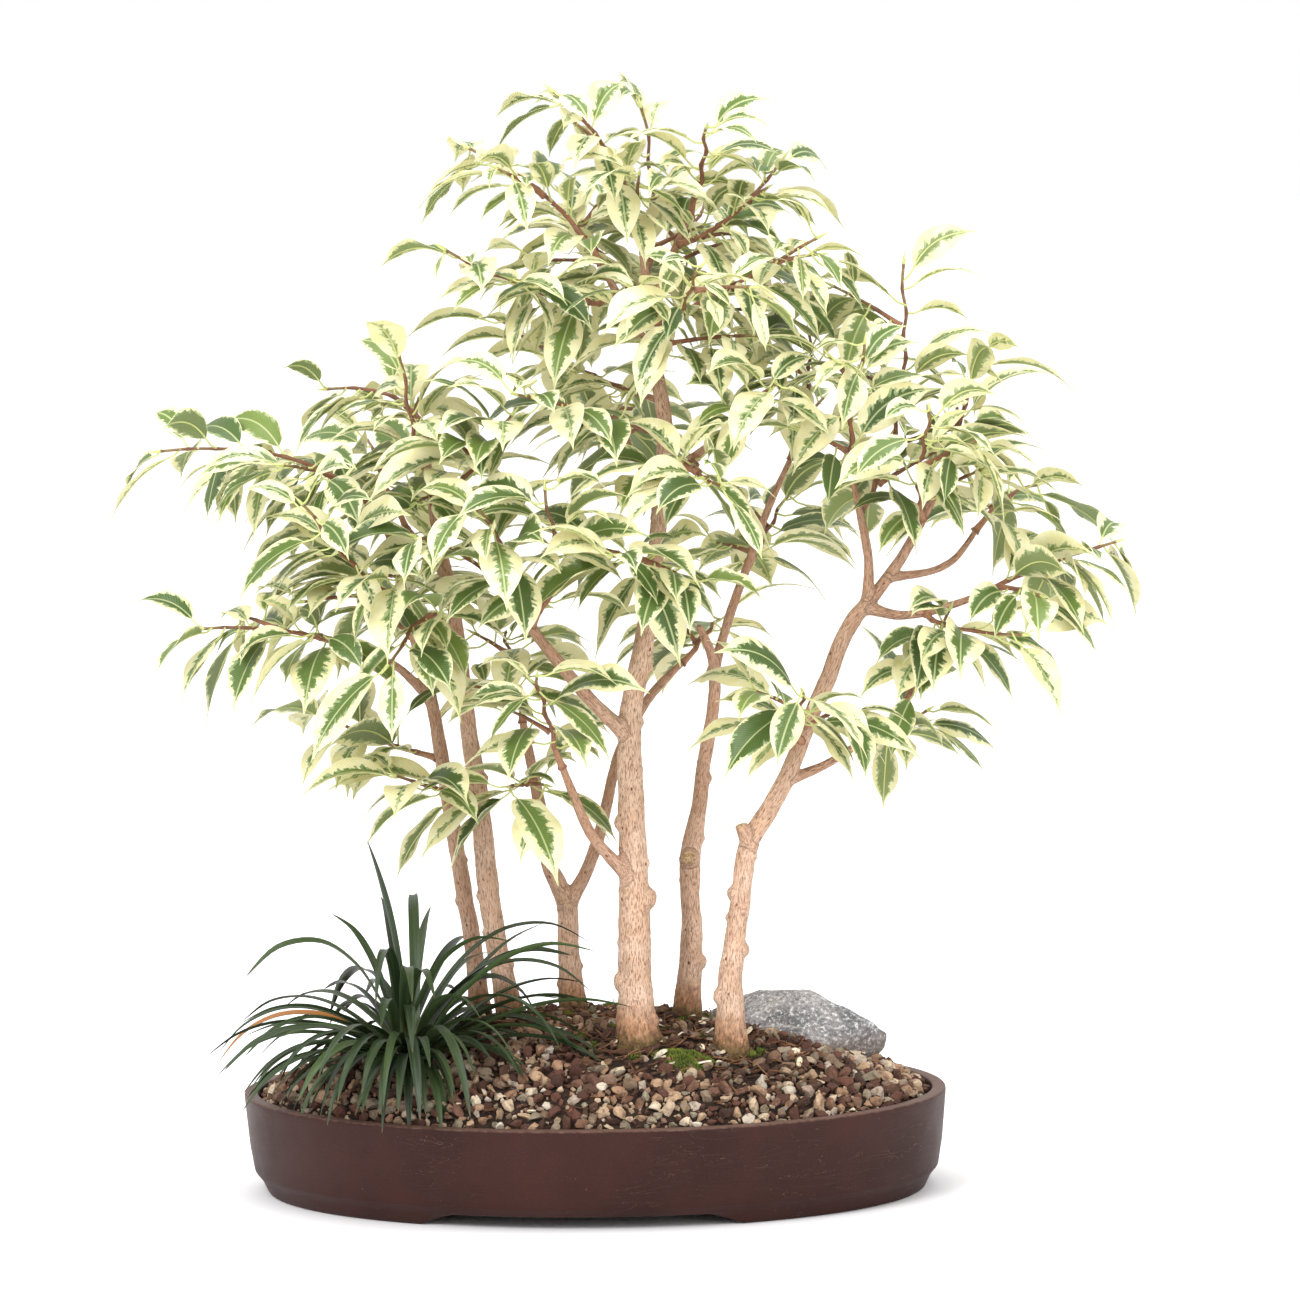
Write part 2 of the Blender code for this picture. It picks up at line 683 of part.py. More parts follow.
def build_drain_meshes(look):
    """A square of plastic mesh over each drain hole, which keeps the soil in."""
    low = FOOT_HEIGHT + TRAY_FLOOR + GAP
    bar = MESH_SIDE / (3 * MESH_HOLES + 1)
    for name, centre in zip(("drain_mesh_left", "drain_mesh_right"), drain_centres()):
        corner = centre - Vector((MESH_SIDE / 2, MESH_SIDE / 2, 0))
        plate = block((corner.x, corner.y, low),
                      (corner.x + MESH_SIDE, corner.y + MESH_SIDE, low + MESH_THICKNESS))
        sheet = object_from(name, plate, look)
        points, faces = [], []
        for i in range(MESH_HOLES):
            for j in range(MESH_HOLES):
                x = corner.x + bar * (1 + 3 * i)
                y = corner.y + bar * (1 + 3 * j)
                hole = block((x, y, low - 0.002), (x + 2 * bar, y + 2 * bar, low + 0.004))
                faces += [tuple(v + len(points) for v in face) for face in hole[1]]
                points += hole[0]
        combine(sheet, object_from(name + "_holes", (points, faces), None), "DIFFERENCE")


# ---- planting bed -----------------------------------------------------------------------
def bed_half():
    """Half the length and half the width of the soil where it meets the wall."""
    inset = TRAY_WALL + TRAY_DRAFT * SOIL_BELOW_RIM / TRAY_HEIGHT + GAP + 0.0004
    return TRAY_LENGTH / 2 - inset, TRAY_WIDTH / 2 - inset


def mound(x, y):
    """The height of the soil's surface."""
    half_length, half_width = bed_half()
    inside = max(1 - (x / half_length) ** 2 - (y / half_width) ** 2, 0)
    return TRAY_HEIGHT - SOIL_BELOW_RIM + MOUND_RISE * inside**0.85


def soil_shape():
    floor = FOOT_HEIGHT + TRAY_FLOOR + GAP
    inner = TRAY_WALL + TRAY_DRAFT + GAP + 0.0004
    rings = [
        outline_at(inner + 0.04, floor),
        outline_at(inner + 0.0065, floor),
        outline_at(inner, floor + 0.0085),
    ]
    half_length, half_width = bed_half()
    for share in (1.0, 0.92, 0.78, 0.58, 0.32):
        ring = oval(half_length * share, half_width * share, 0)
        rings.append([Vector((p.x, p.y, mound(p.x, p.y) - (0.0006 if share == 1 else 0)))
                      for p in ring])
    return loft(rings)


def stone_shape(extra=0.0):
    """A worn slab: a ball of few faces, flattened, sheared and knocked flat in places."""
    shape = bmesh.new()
    bmesh.ops.create_icosphere(shape, subdivisions=3, radius=1)
    half_length, half_width = bed_half()
    centre = Vector((STONE_PLACE[0] * half_length, STONE_PLACE[1] * half_width, 0))
    centre.z = mound(centre.x, centre.y) + STONE_SIZE[2] / 2 - STONE_SINK
    rng = random.Random(5)
    cuts = [
        (Vector((rng.uniform(-1, 1), rng.uniform(-1, 1), rng.uniform(-0.6, 1))).normalized(),
         rng.uniform(0.74, 0.94))
        for _ in range(11)
    ]
    for vertex in shape.verts:
        place = vertex.co.copy()
        for normal, depth in cuts:
            over = place.dot(normal) - depth
            if over > 0:
                place -= normal * over * 0.9
        x, y, z = (place[i] * (STONE_SIZE[i] / 2 + extra) * 1.12 for i in range(3))
        vertex.co = Vector((x, y, z - STONE_LEAN * x))
    turn = Matrix.Rotation(math.radians(-8), 4, "Z")
    bmesh.ops.transform(shape, matrix=Matrix.Translation(centre) @ turn, verts=shape.verts)
    points = [v.co.copy() for v in shape.verts]
    faces = [tuple(v.index for v in f.verts) for f in shape.faces]
    shape.free()
    return points, faces


def tuft_centre():
    half_length, half_width = bed_half()
    x, y = TUFT_PLACE[0] * half_length, TUFT_PLACE[1] * half_width
    return Vector((x, y, mound(x, y)))


def crown_shape(extra=0.0):
    """The tuft's rooted crown: a low dome with a blunt root end in the soil."""
    centre = tuft_centre()
    profile = [(0.55, -0.9), (0.95, -0.5), (1.0, 0.25), (0.84, 0.7), (0.52, 1.05), (0.16, 1.2)]
    rings = []
    for share, height in profile:
        radius = TUFT_RADIUS * share + extra
        rings.append([
            centre + Vector((radius * math.cos(math.tau * k / 12), radius * math.sin(math.tau * k / 12),
                             TUFT_RADIUS * height + (extra if height > 0 else -extra)))
            for k in range(12)
        ])
    return loft(rings)


def blade_run(root, out, length, droop):
    """A strap leaf's centre line: it leaves the crown along out and bows over."""
    run = []
    heading = out.copy()
    point = root.copy()
    for k in range(5):
        run.append((point.copy(), heading.copy()))
        heading = (heading - Vector((0, 0, droop * (0.5 + 0.4 * k)))).normalized()
        point = point + heading * length / 5
    run.append((point, heading))
    return run


def blade_rings(run, width, room=0.0):
    rings = []
    for k, (point, heading) in enumerate(run[1:5]):
        across = heading.cross(Vector((0, 0, 1))).normalized()
        normal = across.cross(heading).normalized()
        half = width / 2 * (0.62, 0.95, 1.0, 0.72)[k] + room
        rings.append([point - across * half + normal * room, point + across * half + normal * room,
                      point - normal * (0.0011 + room)])
    return rings


class Tuft(Shoot):
    """The crown with its blades, grown from the crown's wall triangles."""

    def __init__(self):
        points, faces = crown_shape()
        self.points = points
        self.faces = []
        self.free = []
        for face in faces:
            if len(face) == 4:
                a, b, c, d = face
                for half in ((a, b, c), (a, c, d)):
                    self.faces.append(half)
                    corners = [self.points[v] for v in half]
                    if min(p.z - mound(p.x, p.y) for p in corners) > GAP:
                        self.free.append(half)
            else:
                self.faces.append(face)

    def grow_blade(self, face, run, width):
        self.faces.remove(face)
        ring = list(face)
        for corners in blade_rings(run, width):
            ring = self.raise_ring(ring, corners)
        self.points.append(run[-1][0])
        tip = len(self.points) - 1
        for k in range(3):
            self.faces.append((ring[k], ring[(k + 1) % 3], tip))


def grow_tuft(crowded):
    rng = random.Random(12)
    tuft = Tuft()
    places = sorted(tuft.free, key=lambda face: -tuft.centre(face).z)
    rng.shuffle(places)
    middle = tuft_centre() - Vector((0, 0, TUFT_RADIUS * 0.6))
    for face in places[:BLADE_COUNT]:
        root = tuft.centre(face)
        out = (root - middle).normalized()
        for attempt in range(30):
            aside = Vector((rng.uniform(-0.6, 0.6), rng.uniform(-0.6, 0.6), 0.1))
            aim = (Vector((out.x * 1.7, out.y * 1.7, out.z)) + aside).normalized()
            run = blade_run(root, aim, BLADE_LENGTH * rng.uniform(0.75, 1.2), rng.uniform(0.10, 0.42))
            rings = blade_rings(run, BLADE_WIDTH, LEAF_ROOM / 2)
            points = [p for ring in rings for p in ring] + [run[-1][0]]
            faces = [(0, 2, 1)]
            for low in range(0, 9, 3):
                faces += [(low + k, low + (k + 1) % 3, low + 3 + (k + 1) % 3, low + 3 + k)
                          for k in range(3)]
            faces += [(9 + k, 9 + (k + 1) % 3, 12) for k in range(3)]
            corners = [tuft.points[v] for v in face]
            web = web_of(corners, rings[0], 0.1)
            high_enough = run[-1][0].z > TRAY_HEIGHT * 0.8 and not folds(corners, rings[0])
            if high_enough and crowded.is_free(*both(web, (points, faces))):
                tuft.grow_blade(face, run, BLADE_WIDTH)
                crowded.add(*both(web_of(corners, rings[0], 0), (points, faces)))
                break
    return tuft


def moss_shape(place, half_length, half_width):
    """A thin cushion on the soil, thickest in the middle."""
    x0, y0 = place[0] * MM, place[1] * MM
    under, over = [], []
    for share in (0.35, 0.7, 1.0):
        ring = [(x0 + half_length * MM * share * math.cos(math.tau * k / 14),
                 y0 + half_width * MM * share * (1 + 0.15 * math.sin(3 * k)) *
                 math.sin(math.tau * k / 14)) for k in range(14)]
        thick = MOSS_THICKNESS * (1.25 - share)
        under.append([Vector((x, y, mound(x, y) + 0.0009)) for x, y in ring])
        over.append([Vector((x, y, mound(x, y) + 0.0009 + thick)) for x, y in ring])
    return loft(under + over[::-1])


def build_bed(looks, tuft):
    soil = object_from("soil", soil_shape(), looks["soil"])
    sockets = {}
    for tree in TREES:
        sockets[tree] = tube([(p, r + GAP) for p, r in stem_run(tree, 0)[:7]], TRUNK_SIDES)
    sockets["stone"] = stone_shape(GAP * 1.5)
    sockets["tuft"] = crown_shape(GAP)
    for name, centre in zip(("mesh_left", "mesh_right"), drain_centres()):
        half = MESH_SIDE / 2 + GAP
        low = FOOT_HEIGHT + TRAY_FLOOR
        sockets[name] = block((centre.x - half, centre.y - half, low - 0.002),
                              (centre.x + half, centre.y + half, low + MESH_THICKNESS + 2 * GAP))
    for name, shape in sockets.items():
        combine(soil, object_from(name + "_socket", shape, None), "DIFFERENCE")
    smooth(soil)
    smooth(object_from("stone", stone_shape(), looks["stone"]), 25)
    smooth(object_from("mondo_grass", (tuft.points, tuft.faces), looks["grass"]))
    for name, spot in MOSS.items():
        smooth(object_from(name, moss_shape(*spot), looks["moss"]))


# ---- trees and shoots -------------------------------------------------------------------
def build_trees(look):
    for tree, stems in TREES.items():
        trunk = object_from(tree, tube(stem_run(tree, 0), TRUNK_SIDES), look)
        for index in range(1, len(stems)):
            limb = object_from(f"{tree}_limb_{index}", tube(stem_run(tree, index), LIMB_SIDES), None)
            combine(trunk, limb, "UNION")
        smooth(trunk, 60)


def build_shoots(shoots, look):
    count = {}
    for tree, shoot in shoots:
        count[tree] = count.get(tree, 0) + 1
        name = f"{tree}_shoot_{count[tree]:02d}"
        object_from(name, (shoot.points, shoot.faces), look)


def centre_on_origin():
    """Moves everything so that the whole plant's box is centred over the origin."""
    bpy.context.view_layer.update()
    corners = [
        made.matrix_world @ Vector(corner)
        for made in bpy.context.scene.objects if not made.hide_render
        for corner in made.bound_box
    ]
    middle = [(min(c[i] for c in corners) + max(c[i] for c in corners)) / 2 for i in range(2)]
    for made in bpy.context.scene.objects:
        made.location -= Vector((middle[0], middle[1], 0))
    bpy.context.view_layer.update()
    print("centre of the crown and tray together:", [round(v / MM, 2) for v in middle], "mm")


def main():
    clear_scene()
    looks = {
        "tray": material("unglazed_clay", (0.063, 0.024, 0.019), 0.5),
        "mesh": material("mesh_plastic", (0.02, 0.02, 0.02), 0.6),
        "soil": material("gritty_soil", (0.14, 0.079, 0.046), 0.95),
        "stone": material("grey_stone", (0.28, 0.25, 0.24), 0.85),
        "moss": material("moss", (0.07, 0.10, 0.02), 0.95),
        "grass": material("grass_blade", (0.027, 0.04, 0.014), 0.45),
        "bark": material("bark", (0.60, 0.40, 0.27), 0.8),
        "leaf": material("variegated_leaf", (0.42, 0.50, 0.22), 0.4),
    }
    crowded = Crowded()
    crowded.add(*tray_shape())
    crowded.add(*soil_shape())
    for tree, stems in TREES.items():
        for index in range(len(stems)):
            crowded.add(*tube([(p, r + GAP) for p, r in stem_run(tree, index)], TRUNK_SIDES))
    tuft = grow_tuft(crowded)
    shoots = grow_shoots(crowded)
    build_tray(looks["tray"])
    build_drain_meshes(looks["mesh"])
    build_bed(looks, tuft)
    build_trees(looks["bark"])
    build_shoots(shoots, looks["leaf"])
    centre_on_origin()
    print(sum(len(shoot.leaves) for _, shoot in shoots), "leaves on", len(shoots), "shoots")


main()
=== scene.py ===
# %% [markdown]
# # A weeping fig forest in a clay tray
#
# Six slim variegated weeping figs share one shallow oval tray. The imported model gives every
# trunk, shoot and stone its place and its plain shape. This lesson dresses them: clay, grit,
# bark and close to a thousand marbled leaves. Plain shapes stay hidden and do the physics.

# %% Load the frame
import math
import random

import bmesh
import bpy
import numpy as np
from mathutils import Matrix, Vector, noise
from mathutils.bvhtree import BVHTree
from mathutils.kdtree import KDTree


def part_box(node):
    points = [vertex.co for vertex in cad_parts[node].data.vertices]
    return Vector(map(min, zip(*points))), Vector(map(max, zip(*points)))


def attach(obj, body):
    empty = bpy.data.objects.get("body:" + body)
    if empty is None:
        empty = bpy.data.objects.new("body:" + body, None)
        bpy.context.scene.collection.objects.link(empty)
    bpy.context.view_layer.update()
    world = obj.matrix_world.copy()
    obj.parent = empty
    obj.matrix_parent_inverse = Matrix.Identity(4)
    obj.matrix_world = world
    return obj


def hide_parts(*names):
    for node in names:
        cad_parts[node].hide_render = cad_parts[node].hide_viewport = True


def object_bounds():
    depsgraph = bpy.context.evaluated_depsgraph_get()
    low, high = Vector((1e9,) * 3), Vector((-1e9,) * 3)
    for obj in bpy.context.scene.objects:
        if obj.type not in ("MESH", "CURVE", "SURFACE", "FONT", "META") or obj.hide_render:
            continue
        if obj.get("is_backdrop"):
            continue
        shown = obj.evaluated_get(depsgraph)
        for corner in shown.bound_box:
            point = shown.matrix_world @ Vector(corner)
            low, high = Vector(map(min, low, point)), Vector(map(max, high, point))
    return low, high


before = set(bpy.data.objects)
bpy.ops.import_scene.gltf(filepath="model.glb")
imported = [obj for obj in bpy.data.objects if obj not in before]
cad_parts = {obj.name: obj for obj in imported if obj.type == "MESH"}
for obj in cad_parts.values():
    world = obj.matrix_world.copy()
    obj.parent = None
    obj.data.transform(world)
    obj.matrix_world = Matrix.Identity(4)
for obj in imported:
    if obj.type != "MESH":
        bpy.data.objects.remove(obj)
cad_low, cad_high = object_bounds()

MM = 0.001
tray_low, tray_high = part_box("tray")
TRAY_MIDDLE = Vector(((tray_low.x + tray_high.x) / 2, (tray_low.y + tray_high.y) / 2, 0))
print("tray middle", [round(v / MM, 2) for v in TRAY_MIDDLE], "mm; nodes", len(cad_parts))

# %% [markdown]
# ## The design's own measures
#
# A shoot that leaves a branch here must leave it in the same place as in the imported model.
# Two ways lead there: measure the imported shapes, or grow the plant again from the same
# numbers with the same random seeds. Growing it again is chosen, because it also gives the
# centre lines, which no finished mesh holds any more. All places are counted from the middle
# of the tray, and heights are above the table.

# %% Tray and bed measures
GAP = 0.0004  # between pieces that rest on or in each other
TRAY_LENGTH = 0.350
TRAY_WIDTH = 0.240
TRAY_HEIGHT = 0.050
TRAY_WALL = 0.0068  # at the rim
TRAY_FLOOR = 0.0055
TRAY_DRAFT = 0.0042  # how far the wall leans in above the ledge
LEDGE_HEIGHT = 0.007
LEDGE_IN = 0.0034
FOOT_HEIGHT = 0.0066
FOOT_LEAN = 0.0034
FOOT_WIDTH = 0.0125
ARCH_HEIGHT = 0.0056
ARCH_WIDTH = 0.125  # at the top of the arch
ARCH_FLARE = 0.0155  # how much wider each end is at the table
DRAIN_SPACING = 0.150
DRAIN_RADIUS = 0.009
OUTLINE_POINTS = 44
print("tray", TRAY_LENGTH, "x", TRAY_WIDTH, "x", TRAY_HEIGHT, "m")

SOIL_BELOW_RIM = 0.004
MOUND_RISE = 0.040
ROOT_DEPTH = 0.024
STONE_SIZE = (0.084, 0.042, 0.038)
STONE_PLACE = (0.595, 0.20)  # shares of the bed's half length and half width
STONE_SINK = 0.018
STONE_LEAN = 0.02  # how far its top falls to the right for each unit of length
TUFT_PLACE = (-0.52, -0.40)
TUFT_RADIUS = 0.0125
BLADE_LENGTH = 0.098
BLADE_WIDTH = 0.0046
BLADE_COUNT = 38
MOSS_THICKNESS = 0.0032
MOSS = {"moss_front": ((48, -59), 14, 9), "moss_rear": ((12, 34), 17, 10)}

# %% Stems: each is a list of (x, y, height, radius) in millimetres
TREES = {
    "left_tree": [
        [(-59, 25, 82, 5.2), (-62, 24, 120, 4.5), (-69, 20, 169, 4.0), (-74, 16, 208, 3.7),
         (-79, 10, 244, 3.2), (-89, 4, 289, 2.6), (-97, 0, 327, 1.9)],
        [(-79, 10, 244, 2.6), (-95, 2, 262, 2.2), (-115, -12, 272, 1.6)],
    ],
    "slim_tree": [
        [(-41, 5, 80, 6.4), (-48, 5, 121, 5.4), (-52, 4, 154, 5.5), (-55, 2, 194, 4.7),
         (-59, 0, 225, 4.3), (-62, -4, 260, 3.8), (-66, -8, 300, 3.1), (-74, -10, 340, 2.4),
         (-77, -8, 377, 1.7)],
        [(-62, -4, 262, 2.8), (-66, -22, 278, 2.2), (-70, -38, 290, 1.7)],
        [(-66, -8, 302, 2.5), (-78, 14, 316, 2.1), (-92, 32, 328, 1.6)],
    ],
    "forked_tree": [
        [(-11, 15, 82, 6.4), (-13, 16, 116, 5.5), (-14, 18, 141, 5.2), (-22, 16, 159, 3.9),
         (-24, 14, 177, 3.6), (-28, 10, 203, 3.0), (-33, 4, 234, 2.0)],
        [(-14, 18, 139, 3.9), (-5, 22, 153, 3.4), (2, 27, 171, 3.1), (7, 32, 192, 2.9),
         (13, 36, 214, 2.7), (28, 40, 241, 2.4), (45, 44, 258, 1.7)],
    ],
    "main_tree": [
        [(25, -41, 76, 10.6), (24, -38, 108, 8.2), (24, -37, 140, 7.9), (24, -36, 164, 7.3),
         (23, -33, 199, 6.2), (23, -28, 239, 5.7), (29, -24, 270, 4.9), (33, -19, 296, 4.3),
         (38, -13, 335, 4.3), (41, -7, 368, 4.2), (40, -3, 390, 3.8), (36, 0, 413, 3.3),
         (33, 4, 442, 2.8), (30, 6, 474, 1.9)],
        [(23, -36, 160, 3.6), (6, -44, 181, 2.8), (-2, -50, 199, 2.4), (-9, -54, 219, 1.9)],
        [(22, -29, 230, 4.0), (5, -38, 249, 3.3), (-8, -46, 266, 3.1), (-21, -52, 284, 2.7),
         (-33, -56, 302, 1.9)],
        [(40, -8, 357, 3.4), (54, -14, 365, 2.8), (69, -22, 376, 1.9)],
        [(37, 0, 412, 2.7), (22, -6, 440, 2.2), (11, -12, 462, 1.6)],
        [(33, 4, 437, 2.4), (43, 10, 460, 2.0), (54, 14, 483, 1.5)],
        [(38, -12, 336, 3.0), (31, 18, 352, 2.5), (20, 40, 366, 1.8)],
    ],
    "knotted_tree": [
        [(46, 10, 84, 6.4), (49, 10, 119, 5.8), (49, 10, 139, 4.9), (49, 10, 164, 5.4),
         (54, 8, 190, 3.9), (56, 6, 208, 3.6), (60, 4, 228, 3.3), (63, 2, 250, 3.1),
         (62, 0, 266, 2.6), (56, -6, 282, 1.7)],
        [(62, 2, 257, 2.6), (71, 12, 286, 2.4), (80, 22, 311, 2.2), (91, 30, 340, 1.9),
         (101, 36, 361, 1.5)],
        [(49, 10, 163, 3.4), (49, 3, 165, 3.3)],
    ],
    "right_tree": [
        [(71, -40, 74, 7.6), (71, -39, 110, 6.2), (74, -37, 133, 5.2), (77, -36, 154, 5.0),
         (80, -34, 175, 4.8), (89, -32, 191, 4.6), (99, -30, 208, 4.4), (107, -27, 227, 4.1),
         (114, -24, 244, 4.0), (121, -22, 259, 4.0), (127, -20, 275, 4.0), (134, -18, 287, 4.0),
         (143, -16, 297, 3.4), (156, -10, 314, 2.8), (169, -4, 337, 2.3), (180, 0, 362, 1.7)],
        [(140, -16, 293, 3.0), (141, -22, 315, 2.4), (138, -26, 335, 2.1), (134, -28, 355, 1.6)],
        [(139, -17, 292, 3.0), (154, -20, 288, 2.4), (171, -24, 290, 2.2), (193, -26, 297, 1.7)],
        [(150, -13, 306, 2.3), (170, 0, 307, 2.0), (183, 8, 313, 1.8), (193, 14, 326, 1.4)],
        [(99, -30, 208, 3.0), (118, -20, 214, 2.3), (138, -14, 226, 1.9), (155, -10, 240, 1.4)],
        [(81, -34, 176, 3.4), (77, -36, 187, 3.0)],
    ],
}
print(len(TREES), "trees with", sum(len(stems) for stems in TREES.values()), "stems")

# %% Shoots: tree, stem, share of the way along it, and where the twig ends
SHOOTS = [
    ("left_tree", 0, 1.00, (-208, -16, 372)),
    ("left_tree", 1, 1.00, (-186, -36, 286)),
    ("left_tree", 0, 0.88, (-130, -78, 351)),
    ("left_tree", 0, 0.82, (-158, 58, 355)),
    ("left_tree", 0, 0.60, (-135, 18, 236)),
    ("slim_tree", 0, 1.00, (-128, 20, 399)),
    ("slim_tree", 0, 0.94, (-86, -34, 419)),
    ("slim_tree", 1, 1.00, (-90, -76, 272)),
    ("slim_tree", 0, 0.46, (-92, -34, 212)),
    ("slim_tree", 2, 1.00, (-116, 92, 367)),
    ("forked_tree", 0, 0.86, (-38, -34, 206)),
    ("forked_tree", 0, 1.00, (-46, 56, 272)),
    ("forked_tree", 1, 1.00, (60, 88, 274)),
    ("main_tree", 1, 1.00, (-18, -92, 268)),
    ("main_tree", 2, 1.00, (-76, -80, 335)),
    ("main_tree", 2, 0.80, (-12, -98, 359)),
    ("main_tree", 0, 0.60, (22, -108, 327)),
    ("main_tree", 3, 1.00, (100, -72, 407)),
    ("main_tree", 3, 0.60, (76, -102, 359)),
    ("main_tree", 0, 0.74, (-26, -78, 403)),
    ("main_tree", 4, 0.55, (-64, -24, 470)),
    ("main_tree", 4, 1.00, (-54, 4, 518)),
    ("main_tree", 0, 1.00, (-10, -14, 546)),
    ("main_tree", 0, 0.96, (30, 34, 536)),
    ("main_tree", 5, 1.00, (64, -26, 528)),
    ("main_tree", 5, 0.70, (100, 4, 510)),
    ("main_tree", 0, 0.90, (118, -34, 474)),
    ("main_tree", 0, 0.86, (64, -84, 464)),
    ("main_tree", 2, 0.90, (-46, -92, 352)),
    ("slim_tree", 0, 0.90, (-30, -64, 392)),
    ("main_tree", 0, 0.93, (-14, 76, 492)),
    ("main_tree", 5, 0.40, (58, 82, 486)),
    ("main_tree", 0, 0.80, (-48, 78, 429)),
    ("main_tree", 6, 1.00, (4, 112, 387)),
    ("knotted_tree", 1, 1.00, (112, 24, 423)),
    ("knotted_tree", 1, 0.50, (96, 88, 337)),
    ("right_tree", 1, 1.00, (142, -42, 423)),
    ("right_tree", 1, 0.75, (158, 14, 458)),
    ("right_tree", 0, 1.00, (196, 4, 415)),
    ("right_tree", 0, 0.93, (174, -74, 393)),
    ("right_tree", 2, 1.00, (262, -12, 322)),
    ("right_tree", 3, 1.00, (222, 46, 345)),
    ("right_tree", 2, 0.65, (216, -60, 282)),
    ("right_tree", 4, 1.00, (180, -36, 292)),
    ("right_tree", 4, 0.70, (168, 14, 236)),
    ("right_tree", 0, 0.50, (112, -96, 260)),
]
TRUNK_SIDES = 8
TWIG_RADIUS = 0.0014
INTERNODE = 0.0098
SIDE_TWIG_SHARE = 0.42
PETIOLE = 0.0078
LEAF_LONG = 0.050  # low in the crown
LEAF_SHORT = 0.037  # at the top
LEAF_WIDTH_SHARE = 0.42
LEAF_THICKNESS = 0.0009
LEAF_ROOM = 0.0005  # kept clear round every leaf
LEAF_TRIES = 30
print(len(SHOOTS), "leafy shoots")

# %% [markdown]
# ## Growing the plant again
#
# A weeping fig's twig goes slightly zigzag and sets one leaf at each bend, left and right in
# turn. First come the centre lines and the rings round them, then a memory of what already
# fills the air, so that no leaf grows through another.

# %% Smooth runs and rings
def loft_faces(rows, count):
    """Faces of a closed skin over rows of count points each, with both ends capped."""
    faces = [tuple(reversed(range(count)))]
    for low in range(0, (rows - 1) * count, count):
        for k in range(count):
            n = (k + 1) % count
            faces.append((low + k, low + n, low + count + n, low + count + k))
    return faces + [tuple(range((rows - 1) * count, rows * count))]


def loft(rings):
    """A closed solid through rings of equally many points, listed so that its faces point out."""
    return [p for ring in rings for p in ring], loft_faces(len(rings), len(rings[0]))


def level_beside(along, side):
    """The level direction to the right of a run, or any one beside an upright run."""
    level = along.cross(Vector((0, 0, 1)))
    return level.normalized() if level.length > 0.1 else Vector((side, 0, 0))


def oval(half_length, half_width, height, count=OUTLINE_POINTS):
    turns = [math.tau * k / count for k in range(count)]
    return [Vector((half_length * math.cos(t), half_width * math.sin(t), height)) for t in turns]


def outline_at(inset, height):
    """The tray's oval, moved in from the rim's outline."""
    return oval(TRAY_LENGTH / 2 - inset, TRAY_WIDTH / 2 - inset, height)


def through(knots, steps):
    """A smooth run of (point, radius) through knots given in millimetres."""
    places = [Vector(k[:3]) * MM for k in knots]
    radii = [k[3] * MM for k in knots]
    run = []
    for i in range(len(places) - 1):
        a = places[max(i - 1, 0)]
        b, c = places[i], places[i + 1]
        d = places[min(i + 2, len(places) - 1)]
        for s in range(steps):
            t = s / steps
            point = 0.5 * (2 * b + (c - a) * t + (2 * a - 5 * b + 4 * c - d) * t**2
                           + (3 * b - a - 3 * c + d) * t**3)
            run.append((point, radii[i] + (radii[i + 1] - radii[i]) * t))
    run.append((places[-1], radii[-1]))
    return run


def direction_at(run, i):
    return (run[min(i + 1, len(run) - 1)][0] - run[max(i - 1, 0)][0]).normalized()


def tube_rings(run, sides, first_direction=None):
    """Rings round a run, each turned as little as possible from the one before."""
    rings = []
    across = None
    for i, (centre, radius) in enumerate(run):
        along = first_direction if i == 0 and first_direction else direction_at(run, i)
        if across is None:
            across = along.orthogonal()
        across = (across - along * across.dot(along)).normalized()
        other = along.cross(across)
        turns = [math.tau * k / sides for k in range(sides)]
        rings.append([centre + radius * (across * math.cos(t) + other * math.sin(t)) for t in turns])
    return rings


def tube(run, sides):
    return loft(tube_rings(run, sides))

# %% What already has its place
class Crowded:
    """Remembers every stem, twig and leaf that has its place, and says if a new one is free."""

    def __init__(self):
        self.grown = []

    @staticmethod
    def box(points):
        low = [min(p[i] for p in points) for i in range(3)]
        high = [max(p[i] for p in points) for i in range(3)]
        return low, high

    def add(self, points, faces):
        self.grown.append((self.box(points), BVHTree.FromPolygons(points, faces)))

    def is_free(self, points, faces):
        low, high = self.box(points)
        near = [
            tree for (a, b), tree in self.grown
            if all(a[i] <= high[i] and low[i] <= b[i] for i in range(3))
        ]
        if not near:
            return True
        own = BVHTree.FromPolygons(points, faces)
        return not any(own.overlap(tree) for tree in near)

# %% One shoot: a twig with side twigs and leaves
def twig_run(start, out, end):
    """A twig's centre line: straight out of the stem, then arching to its end."""
    length = (end - start).length
    count = max(3, round(length / INTERNODE))
    bend = start + out * 0.3 * length + (end - start) * 0.15 + Vector((0, 0, 0.08 * length))
    run = [(start, TWIG_RADIUS)]
    for i in range(1, count + 1):
        t = i / count
        point = start * (1 - t) ** 2 + bend * 2 * t * (1 - t) + end * t**2
        side = (end - start).cross(Vector((0, 0, 1)))
        if side.length > 0:
            point = point + side.normalized() * (0.0009 if i % 2 else -0.0009)
        run.append((point, TWIG_RADIUS * (1 - 0.5 * t)))
    return run


def matched(ring, corners):
    """The corners of the next ring of three, in the order that lies closest to this ring."""
    turns = [corners[k:] + corners[:k] for k in range(3)]
    return min(turns, key=lambda turn: sum((a - b).length for a, b in zip(ring, turn)))


def folds(ring, corners):
    """Whether a skin from a ring of three to the next would turn inside out somewhere."""
    upper = matched(ring, corners)
    middle = sum(ring + upper, Vector()) / 6
    walls = []
    for k in range(3):
        n = (k + 1) % 3
        walls += [(ring[k], ring[n], upper[n]), (ring[k], upper[n], upper[k])]
    return any((b - a).cross(c - a).dot(a - middle) <= 0 for a, b, c in walls)


